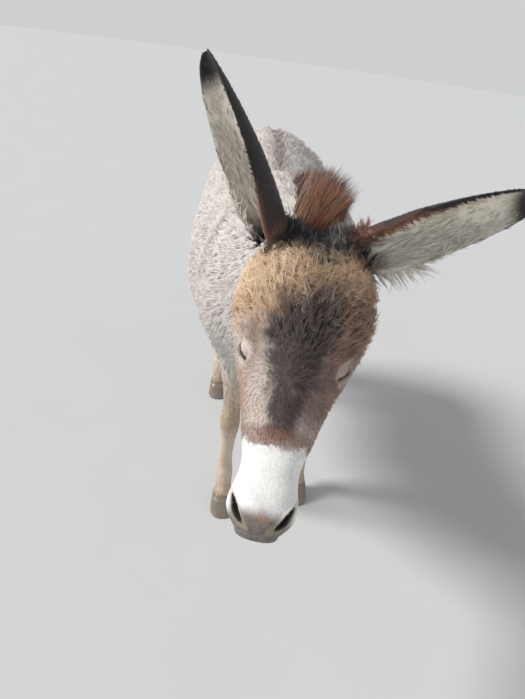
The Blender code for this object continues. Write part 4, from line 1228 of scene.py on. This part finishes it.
def body_tufts(name, weight, count, masses, seed, strands):
    """Tufts over one part of the body, with the unwrap of the form under it."""
    root, out = scattered(count, weight, seed)
    lie = strayed(hair_lie(root, out), out, 0.22, seed + 1)
    length = body_length(root)
    colour = coat_colour(root)
    dusk = np.random.default_rng(seed + 2).uniform(0, 1, (count, 1)) ** 3
    base = colour * (0.95 - 0.15 * dusk)
    tip = over(colour * 1.05, BACK_LINE, 0.50 * dusk[:, 0] * ramp(root[:, 2], 0.84, 1.0))
    nearest = np.argmin([mass.distance(root) for mass in masses], axis=0)
    wrap = np.zeros((count, 2))
    for number, mass in enumerate(masses):
        own = nearest == number
        wrap[own] = mass.wrap(root[own]) / (len(masses), 1) + (number / len(masses), 0)
    lift = math.radians(29) * (1 + 0.25 * mottle(root, 0.03, 9)) * np.interp(root[:, 2], (0.3, 0.6), (0.62, 1.0))
    made = tufts(
        name, root, out, lie, base, tip, wrap, length, lift, 0.040 * length + 0.0001, seed + 3,
        spread=0.24 * length, strands=strands, rings=2, curl=0.05, turns=0.7,
    )
    finished(made, fur, "leg_coat" if "leg" in name else "body_coat")


middle_y, middle_z = middles[:, 1], middles[:, 2]
SHOULDERS_END, BARREL_END = 0.16, 0.50
on_trunk = on_flesh("trunk") * np.interp(middle_z, (0.50, 0.75, 1.0), (0.7, 1.0, 1.5))
shoulders = on_trunk * (middle_y < SHOULDERS_END)
barrel = on_trunk * (middle_y >= SHOULDERS_END) * (middle_y < BARREL_END)
rump = on_trunk * (middle_y >= BARREL_END) + 1.6 * on_flesh("dock")
on_neck = on_flesh("neck") * np.interp(middle_z, (0.7, 1.0), (1.0, 1.7))
on_legs = np.interp(middle_z, (0.06, 0.45, 0.60), (2.2, 1.6, 1.0)) * (middle_z > CORONET + 0.003)
for name, weight, count, masses, seed, strands in (
    ("coat_shoulders", shoulders, 2600, flesh["trunk"], 11, 5),
    ("coat_barrel", barrel, 2600, flesh["trunk"], 21, 5),
    ("coat_rump", rump, 2600, flesh["trunk"], 31, 5),
    ("coat_neck", on_neck, 2500, flesh["neck"], 41, 5),
    ("coat_forelegs", on_flesh("fore") * on_legs, 2500, flesh["fore"], 51, 3),
    ("coat_hindlegs", on_flesh("hind") * on_legs, 2900, flesh["hind"], 61, 3),
):
    body_tufts(name, weight, count, masses, seed, strands)


# ------------------------------------------------------------------ coat, the head
# Long curly wool on the forehead and the cheeks, close hair on the nose that parts at a whorl, and a velvet film
# of white hair on the muzzle.
WOOL_END = 0.215


def eye_gap(places):
    """How far each place is from the nearer eye's centre."""
    return np.minimum(*(np.linalg.norm(places - eye, axis=1) for eye in EYES.values()))


def head_length(places):
    """Length of the hair by how far it is along the head, longer on the jaw and shorter round the eyes."""
    along, _, height = head_place(places).T
    stations = (-0.05, 0.05, 0.12, 0.17, 0.21, 0.26, 0.34, 0.365, 0.50)
    plain = np.interp(along, stations, (0.018, 0.028, 0.030, 0.026, 0.015, 0.010, 0.008, 0.0045, 0.0034))
    plain = np.where((height < -0.10) & (along < 0.33), np.maximum(plain, 0.016), plain)
    by_eyes = np.interp(eye_gap(places), (0.022, 0.045), (0.22, 1.0))
    return plain * by_eyes * (1 + 0.2 * mottle(places, 0.02, 10))


def head_tufts(name, weight, count, seed, strands, rings, stray, curl, turns):
    """Tufts over one part of the head. They are curly down to the eyes and straight below them."""
    root, out = scattered(count, weight, seed)
    along = head_place(root)[:, 0]
    lie = strayed(hair_lie(root, out), out, stray, seed + 1)
    length = head_length(root)
    lift = np.radians(np.interp(along, (0.0, 0.16, 0.22, 0.34, 0.37), (52, 50, 34, 26, 16)))
    lift = np.where(eye_gap(root) < 0.04, 0.5, lift)
    colour = coat_colour(root)
    dusk = np.random.default_rng(seed + 2).uniform(0, 1, (count, 1)) ** 2
    fluff = ramp(along, 0.20, 0.12)
    base = colour * (0.92 - 0.18 * dusk)
    tip = over(colour * 1.06, PALE, 0.30 * dusk[:, 0] * fluff)
    width, spread = 0.021 * length + 0.00022, 0.17 * length + 0.0006
    made = tufts(
        name, root, out, lie, base, tip, SKULL.wrap(root), length, lift, width, seed + 3,
        spread=spread, strands=strands, rings=rings, curl=curl * fluff + 0.03, turns=turns, droop=0.42,
    )
    finished(made, fur, "face_coat")


wool = on_the_head & (middle_along < WOOL_END)
nose = on_the_head * (middle_along >= WOOL_END) * np.interp(middle_along, (0.21, 0.35, 0.37), (1.0, 1.5, 1.0))
from_crown = ((middle_along - 0.060) / 0.042) ** 2 + ((middle_across - 0.018) / 0.060) ** 2
on_crown = wool * np.exp(-from_crown) * (middle_out > -0.06)
around_eyes = on_the_head * ramp(eye_gap(middles), 0.046, 0.036)
for name, weight, count, seed, strands, rings, stray, curl, turns in (
    ("coat_forehead", wool * (middle_out > -0.075), 1650, 71, 6, 3, 0.40, 0.13, 0.9),
    ("coat_cheeks", wool * (middle_out <= -0.075), 1500, 81, 4, 3, 0.22, 0.08, 0.9),
    ("coat_crown", on_crown, 410, 76, 5, 7, 1.2, 0.27, 1.6),
    ("coat_face", nose * np.where(middle_out > -0.10, 1.0, 0.5), 4800, 91, 3, 2, 0.20, 0.0, 0.9),
    ("coat_lids", around_eyes, 900, 96, 3, 2, 0.20, 0.0, 0.9),
):
    head_tufts(name, weight, count, seed, strands, rings, stray, curl, turns)


# ------------------------------------------------------------------ coat, the ears
# Close dark hair on the backs. Inside, long white hair starts at both rims and at the foot and crosses the
# trough. On the left ear it hangs out over the lower rim as a fringe.
def ear_back(ear, name, number):
    """The hair on the back of an ear, shorter towards its tip and rims, its tips lighter partly as painted
    sheen.
    """
    _, _, lining, here = ear_parts[name]
    root, out = scattered(1000, here & ~lining, 101 + number)
    at, around, _, _ = ear.places(root)
    colour = coat_colour(root)
    length = np.interp(at, (0, 0.2, 0.9, 1.0), (0.016, 0.010, 0.007, 0.004)) * (1 - 0.35 * np.abs(around))
    lie = strayed(flat_on(np.tile(ear.axis, (len(root), 1)), out), out, 0.18, 103 + number)
    wrap = np.stack([0.25 + 0.20 * around, 0.5 * at + 0.1], 1)
    # The tips are much lighter than the roots: partly brownish hair tips, partly a painted sheen on the black
    # hair.
    return tufts(
        f"coat_ear_{name}_back", root, out, lie, colour * 0.7, colour * 2.6 + 0.018, wrap,
        length, 0.30, 0.0006, 105 + number, spread=0.0020, strands=3, rings=2,
    )


def ear_inside(ear, name, number):
    """The long hair inside an ear, rooted mostly at its rims and foot."""
    share, turn, lining, here = ear_parts[name]
    weight = (here & lining) * (0.35 + 1.2 * ramp(np.abs(turn), 0.45, 0.85))
    root, out = scattered(1150, weight * np.interp(share, (0.1, 0.5, 1), (1.4, 1.0, 0.8)), 107 + number)
    at, around, _, _ = ear.places(root)
    colour = coat_colour(root)
    across = np.sign(around)[:, None] * ear.across
    rim = np.interp(np.abs(around), (0, 0.5, 1.0), (0.1, 0.4, 0.7))[:, None]
    lie = 0.85 * ear.axis - across * rim + 0.25 * ear.opening
    lie = strayed(flat_on(lie, out), out, 0.25, 109 + number)
    hanging = ramp(around, 0.70, 0.95) * ramp(at, 0.45, 0.15) * (name == "left")
    lie = unit(lie + hanging[:, None] * (1.6 * across - 0.4 * ear.axis))
    front_rim = ramp(ear.front * around, 0.45, 0.75)
    both_rims = ramp(np.abs(around), 0.6, 0.9) * (name == "right")
    length = np.interp(at, (0, 0.15, 0.45, 0.70, 1.0), (0.026, 0.042, 0.030, 0.016, 0.005))
    length = length * (1 + 0.25 * hanging) * (1 - 0.55 * front_rim) * (1 - 0.45 * both_rims)
    lift = np.interp(np.abs(around), (0, 0.6, 1.0), (0.40, 0.50, 0.25 if name == "right" else 0.55))
    wrap = np.stack([0.75 + 0.20 * around, 0.5 * at + 0.1], 1)
    return tufts(
        f"coat_ear_{name}_inside", root, out, lie, colour * 0.92, colour * 1.03, wrap,
        length, lift, 0.0006, 111 + number, spread=0.0035, strands=5, rings=2, curl=0.05,
    )


for number, (name, ear) in enumerate(EARS.items()):
    finished(ear_back(ear, name, number), fur, "ear_coat")
    finished(ear_inside(ear, name, number), fur, "ear_coat")


# ------------------------------------------------------------------ mane
# A thick upright brush of coarse hair along the crest, leaning a little to the left: rust and dark strands
# behind the ears, greyer towards the withers, its top broken into points.
LEAN = np.array((math.sin(math.radians(25)), 0.12, math.cos(math.radians(25))))
RUSTY, STRAND_DARK, STRAND_TAN = dye(170, 100, 58), dye(60, 38, 31), dye(204, 160, 118)
WITHERS_GREY = dye(176, 156, 148)
CREST = through(
    (  # x, y, z, height of the mane
        (-0.031, -0.352, 1.050, 0.060),
        (-0.029, -0.330, 1.050, 0.092),
        (-0.026, -0.290, 1.046, 0.104),
        (-0.018, -0.200, 1.038, 0.108),
        (-0.008, -0.110, 1.032, 0.098),
        (-0.002, -0.030, 1.036, 0.072),
        (0.000, 0.035, 1.044, 0.035),
    ),
    200,
)


def tiled(colour, count):
    """The same colour count times."""
    return np.tile(colour, (count, 1))


def mane(count):
    """Tufts side by side along the crest, from the nape to the withers."""
    dice = np.random.default_rng(131)
    along = (np.arange(count) + dice.uniform(0, 1, count)) / count
    crest = between(CREST, along * (len(CREST) - 1))
    sideways = dice.uniform(-1, 1, count)
    none = 0 * along
    jitter = 0.004 * dice.normal(0, 1, count)
    root = crest[:, :3] + np.stack([0.017 * sideways, jitter, -0.010 - 0.004 * np.abs(sideways)], 1)
    out = unit(LEAN + np.stack([0.16 * sideways, 0.10 * dice.normal(0, 1, count), none], 1))
    lie = flat_on(unit(np.stack([0.5 + 0.4 * sideways, 0.8 + none, none], 1)), out)
    points_and_gaps = 1.10 + 0.13 * np.sin(160 * along + 2) * np.sin(61 * along)
    length = crest[:, 3] * points_and_gaps * (1 - 0.10 * np.abs(sideways))
    near_ears = ramp(crest[:, 1], -0.15, -0.29)
    dark = (dice.uniform(0, 1, count) < 0.38) * 1.0
    tan = 0.8 * (dice.uniform(0, 1, count) < 0.22) * near_ears
    tip = over(
        tiled(WITHERS_GREY, count),
        RUSTY, 0.25 + 0.75 * near_ears,
        STRAND_TAN, tan,
        STRAND_DARK, 0.85 * dark,
    )
    darker = np.clip(0.45 + 0.5 * dark + 0.5 * (along < 0.06), 0, 1)
    base = over(tiled(STRAND_TAN, count), STRAND_DARK, darker)
    wrap = np.stack([0.5 + 0.4 * sideways, along], 1)
    return tufts(
        "mane_locks", root, out, lie, base, tip, wrap, length, math.radians(84), 0.0008, 133,
        spread=0.0070, strands=6, rings=3, curl=0.045, turns=0.9, droop=0.06, close=0.45, sag=0.22,
    )


finished(mane(900), hair_material("mane hair", 0.5, 0.05), "mane_hair", "mane")


# ------------------------------------------------------------------ tail
# Short hair of the body's coat covers the dock. From its lower half long dark locks hang, and close to a blunt
# tassel above the hocks.
TAIL_DARK, TAIL_TIPS = dye(120, 104, 94), dye(92, 74, 64)
TASSEL_END = 0.355


def tassel(count):
    """Tufts that start round the lower half of the dock and hang to about one height."""
    dice = np.random.default_rng(141)
    height = dice.uniform(0.47, 0.665, count)
    round_ = dice.uniform(0, 2 * math.pi, count)
    none = 0 * height
    out = np.stack([np.cos(round_), np.sin(round_), none], 1)
    thick = np.interp(height, (0.47, 0.55, 0.62, 0.665), (0.020, 0.020, 0.014, 0.017))
    dock_y = np.interp(height, (0.42, 0.49, 0.56, 0.63, 0.74), (0.900, 0.903, 0.906, 0.908, 0.912))
    root = np.stack([none, dock_y, height], 1) + thick[:, None] * out
    lie = np.tile((0.0, 0.0, -1.0), (count, 1))
    tone = dice.uniform(0, 1, count)
    base = over(tiled(TAIL_DARK, count), STRAND_DARK, tone)
    tip = over(tiled(TAIL_TIPS, count), POLL_DARK, tone)
    length = (height - TASSEL_END) * dice.uniform(0.62, 1.0, count)
    wrap = np.stack([round_ / 7, (height - 0.4) * 3], 1)
    return tufts(
        "tail_locks", root, out, lie, base, tip, wrap, length, 0.24, 0.0012, 143,
        spread=0.006, strands=4, rings=5, curl=0.03, turns=0.8, droop=0.9, close=0.5, sag=0.5,
    )


finished(tassel(420), hair_material("tail hair", 0.5, 0.05), "tail_hair", "tail_tuft")


# ------------------------------------------------------------------ eyes, lashes and whiskers
# Dark brown eyes with a level pupil, seen only as a wet line between the lids. Each is a ball with the cornea's
# swell on it. Dark lashes hang from the upper lid, and a few pale feelers stand on the lips and chin.
EYE_WHITE, IRIS, PUPIL = dye(52, 40, 34), dye(74, 46, 26), dye(8, 7, 9)
LASH, FEELER = dye(46, 36, 32), dye(214, 204, 190)
BALL_RADIUS, IRIS_RADIUS, PUPIL_HALF_WIDTH, PUPIL_HALF_HEIGHT = EYE_RADIUS - 0.0009, 0.0125, 0.0072, 0.0030


def eyeball(side, name, around=56, rows=40):
    """A ball of radius r (1 + 0.045 exp(-(polar / 0.62)^2)), its pole at the pupil, with iris and pupil."""
    facing, slit_way, lid_way = eye_bearings(side)
    turns = np.linspace(0, 2 * math.pi, around, endpoint=False)
    polar, turn = np.meshgrid(np.linspace(0, math.pi, rows), turns, indexing="ij")
    radius = BALL_RADIUS * (1 + 0.045 * bell(polar, 0, 0.62))
    flat = (radius * np.sin(polar))[..., None]
    ball = EYES[side] + (radius * np.cos(polar))[..., None] * facing
    ball = ball + flat * (np.cos(turn)[..., None] * slit_way + np.sin(turn)[..., None] * lid_way)
    mesh = mesh_from(f"eyeball_{name}", ball[1:-1].reshape(-1, 3), tube_faces(rows - 2, around))
    looking = read(mesh.vertices, "co", 3) - EYES[side]
    u, v = looking @ slit_way, looking @ lid_way
    in_front = looking @ facing > 0
    pupil = ramp(np.hypot(u / PUPIL_HALF_WIDTH, v / PUPIL_HALF_HEIGHT), 1.08, 0.92) * in_front
    iris = ramp(np.hypot(u, v), IRIS_RADIUS, IRIS_RADIUS - 0.0007) * in_front
    markings_on(mesh, over(tiled(EYE_WHITE, len(u)), IRIS, iris, PUPIL, pupil))
    return shown(mesh, f"eyeball_{name}")


def lashes(side, name, count=64):
    """Lashes along the edge of the upper lid, longest in its middle."""
    facing, slit_way, lid_way = eye_bearings(side)
    dice = np.random.default_rng(151 + side)
    u = np.linspace(-0.85, 0.80, count) * SLIT_HALF_LENGTH + dice.normal(0, 0.0003, count)
    from_middle = u / SLIT_HALF_LENGTH
    v = -SLIT_DROP + SLIT_BEND * u**2 + SLIT_HALF_HEIGHT * (1 - from_middle**2) + 0.0010
    w = np.sqrt((EYE_RADIUS + LID_THICKNESS) ** 2 - u**2 - v**2)
    root = EYES[side] + u[:, None] * slit_way + v[:, None] * lid_way + w[:, None] * facing
    out = unit(root - EYES[side])
    lie = flat_on(unit((from_middle * 0.35)[:, None] * slit_way - 0.9 * lid_way), out)
    length = 0.011 * (1 - 0.35 * from_middle**2) * dice.uniform(0.8, 1.1, count)
    dark = tiled(LASH, count)
    return tufts(
        f"lashes_{name}", root, out, lie, dark, dark, SKULL.wrap(root), length, 0.95, 0.00022, 161 + side,
        spread=0.0004, strands=2, rings=4, droop=0.55,
    )


def feelers():
    """Single long hairs on the lips and the chin."""
    weight = on_the_head * (middle_along > 0.385) * (middle_out < -0.055) * (np.abs(middle_across) > 0.012)
    root, out = scattered(80, weight * (0.15 + 1.0 * (middle_out < -0.085)), 171)
    lie = flat_on(unit(0.6 * FORWARD - 0.7 * BROW + 0 * out), out)
    length = np.random.default_rng(172).uniform(0.012, 0.032, len(root))
    pale = tiled(FEELER, len(root))
    return tufts(
        "feelers", root, out, lie, pale * 0.8, pale, SKULL.wrap(root), length, 0.9, 0.00028, 173,
        spread=0.0, strands=1, rings=5, droop=0.4,
    )


eye_look, tree, place = material("wet eye", 0.06, coat=1.0)
shaded(tree, {"Base Color": marked(tree, greys(tree, noise(tree, place, 1600.0, 2.0), 0.75, 1.20))})
lash_hair = hair_material("lash hair", 0.4, 0.0)
for side, name in ((-1, "right"), (1, "left")):
    finished(eyeball(side, name), eye_look, "eye", f"eye_{name}")
    finished(lashes(side, name), lash_hair, "face_coat")
finished(feelers(), hair_material("feeler hair", 0.35, 0.0), "face_coat")


# ------------------------------------------------------------------ hooves
# Upright grey horn, ringed by its growth and worn at the edge. Each hoof carries a leg and stands flat on the
# ground, notched at the heel.
HORN_DARK, HORN, HORN_PALE = dye(96, 86, 78), dye(142, 128, 114), dye(168, 152, 134)
FORE_SET_BACK, HIND_SET_BACK = 0.022, 0.010
SQUARENESS = 2.4
HOOF_RINGS = through(
    (  # height, forward, half width, front, rear, cleft at the heel
        (CORONET + 0.004, 0.002, 0.0285, 0.0315, 0.0310, 0.02),
        (CORONET - 0.003, 0.000, 0.0306, 0.0336, 0.0331, 0.03),
        (0.044, -0.006, 0.0325, 0.0370, 0.0350, 0.08),
        (0.024, -0.013, 0.0350, 0.0420, 0.0360, 0.14),
        (0.004, -0.020, 0.0370, 0.0465, 0.0370, 0.18),
        (0.000, -0.020, 0.0358, 0.0453, 0.0358, 0.18),
    ),
    46,
)


def hoof(node_name, x, y, around=64):
    """Superelliptic rings |a/w|^2.4 + |b/l|^2.4 = 1, notched at the heel, with 0.5 mm ridges of growth."""
    turn = np.linspace(0, 2 * math.pi, around, endpoint=False)
    height, forward, half, front, rear, cleft = (column[:, None] for column in HOOF_RINGS.T)
    ridge = 0.0005 * np.sin(height * 1300) * ramp(height, 0.002, 0.008) * ramp(height, CORONET, 0.046)
    side_way = np.sign(np.sin(turn)) * np.abs(np.sin(turn)) ** (2 / SQUARENESS)
    long_way = -np.sign(np.cos(turn)) * np.abs(np.cos(turn)) ** (2 / SQUARENESS)
    reach = np.where(np.cos(turn) > 0, front, rear)
    notch = 1 - cleft * bell(turn, math.pi, 0.22)
    across = x + (half + ridge) * side_way
    length = y + forward + (reach + ridge) * long_way * notch
    rings = np.stack([across, length, height + 0 * turn], 2)
    mesh = mesh_from(node_name + "_horn", rings[::-1].reshape(-1, 3), tube_faces(*rings.shape[:2]))
    return shown(mesh, node_name + "_horn")


horn, tree, place = material("hoof horn", 0.42, coat=0.15)
fibres = noise(tree, stretched(tree, place, (1.0, 1.0, 0.12)), 520.0, 4.0)
colour = graded(tree, fibres, (0.25, HORN_DARK), (0.60, HORN), (0.85, HORN_PALE))
dust = greys(tree, noise(tree, place, 46.0), 0.80, 1.12)
shaded(tree, {"Base Color": tinted(tree, colour, dust), "Normal": bumped(tree, fibres, 0.0006, 0.6)})
for end, feet, set_back in (("fore", FORE_FEET, FORE_SET_BACK), ("hind", HIND_FEET, HIND_SET_BACK)):
    for side, name in ((-1, "right"), (1, "left")):
        x, y = feet[side]
        finished(hoof(f"hoof_{end}_{name}", x, y - set_back), horn, "hoof", f"hoof_{end}_{name}")


# ------------------------------------------------------------------ floor, camera and light
# A pale studio floor. The eye of the camera is a little above the animal's back, close to its lowered head, and
# looks down along it. A strong soft light shines from the animal's right, and a weak one from its left.
FLOOR_RADIUS, FLOOR_CORNERS = 30, 96
LOW_SKY, HIGH_SKY = (0.62, 0.625, 0.63), (0.40, 0.41, 0.43)
LOOK_DOWN, LOOK_TURN, TILT = math.radians(30.6), math.atan2(0.148, 0.989), math.radians(8)
CAMERA_PLACE = (-0.221, -1.241, 1.347)

floor_mesh = bpy.data.meshes.new("floor")
turn = np.linspace(0, 2 * math.pi, FLOOR_CORNERS, endpoint=False)
rim = np.stack([FLOOR_RADIUS * np.cos(turn), FLOOR_RADIUS * np.sin(turn), 0 * turn], 1)
floor_mesh.from_pydata(rim.tolist(), [], [list(range(FLOOR_CORNERS))])
floor = shown(floor_mesh, "floor")
pale_floor, tree, place = material("pale floor", 0.9)
clouds = graded(tree, noise(tree, place, 3.0), (0.3, (0.56, 0.56, 0.555)), (0.7, (0.575, 0.575, 0.57)))
shaded(tree, {"Base Color": clouds})
floor.data.materials.append(pale_floor)

world = bpy.data.worlds.new("studio")
bpy.context.scene.world = world
world.use_nodes = True
tree = world.node_tree
height = node(tree, "SeparateXYZ", "Z", {"Vector": node(tree, "TexCoord", "Generated")})
glow = graded(tree, height, (0.0, LOW_SKY), (0.10, LOW_SKY), (0.45, HIGH_SKY))
plug(tree, glow, tree.nodes["Background"].inputs["Color"])


def lamp(name, towards, strength, soft):
    """A distant light that shines from one direction, its disc soft radians across."""
    light = bpy.data.lights.new(name, "SUN")
    light.energy, light.angle = strength, soft
    made = bpy.data.objects.new(name, light)
    bpy.context.scene.collection.objects.link(made)
    made.rotation_mode = "QUATERNION"
    made.rotation_quaternion = Vector(towards).to_track_quat("Z", "Y")


lamp("key", (-0.73, 0.05, 0.68), 3.2, 0.30)
lamp("fill", (0.60, -0.70, 0.50), 0.25, 1.2)

level_look = np.array((math.sin(LOOK_TURN), math.cos(LOOK_TURN), 0.0))
look = math.cos(LOOK_DOWN) * level_look - math.sin(LOOK_DOWN) * np.array((0, 0, 1))
level_right = unit(np.cross(look, (0, 0, 1)))
level_up = np.cross(level_right, look)
right = math.cos(TILT) * level_right + math.sin(TILT) * level_up
upright = math.cos(TILT) * level_up - math.sin(TILT) * level_right
camera_data = bpy.data.cameras.new("camera")
camera_data.lens, camera_data.sensor_width = 27.81, 36.0
camera = bpy.data.objects.new("camera", camera_data)
bpy.context.scene.collection.objects.link(camera)
rows = np.stack([right, upright, -look, np.array(CAMERA_PLACE) + MOVED], axis=1)
camera.matrix_world = Matrix((*rows.tolist(), (0, 0, 0, 1)))
bpy.context.scene.camera = camera
bpy.context.scene.view_settings.view_transform = "Standard"
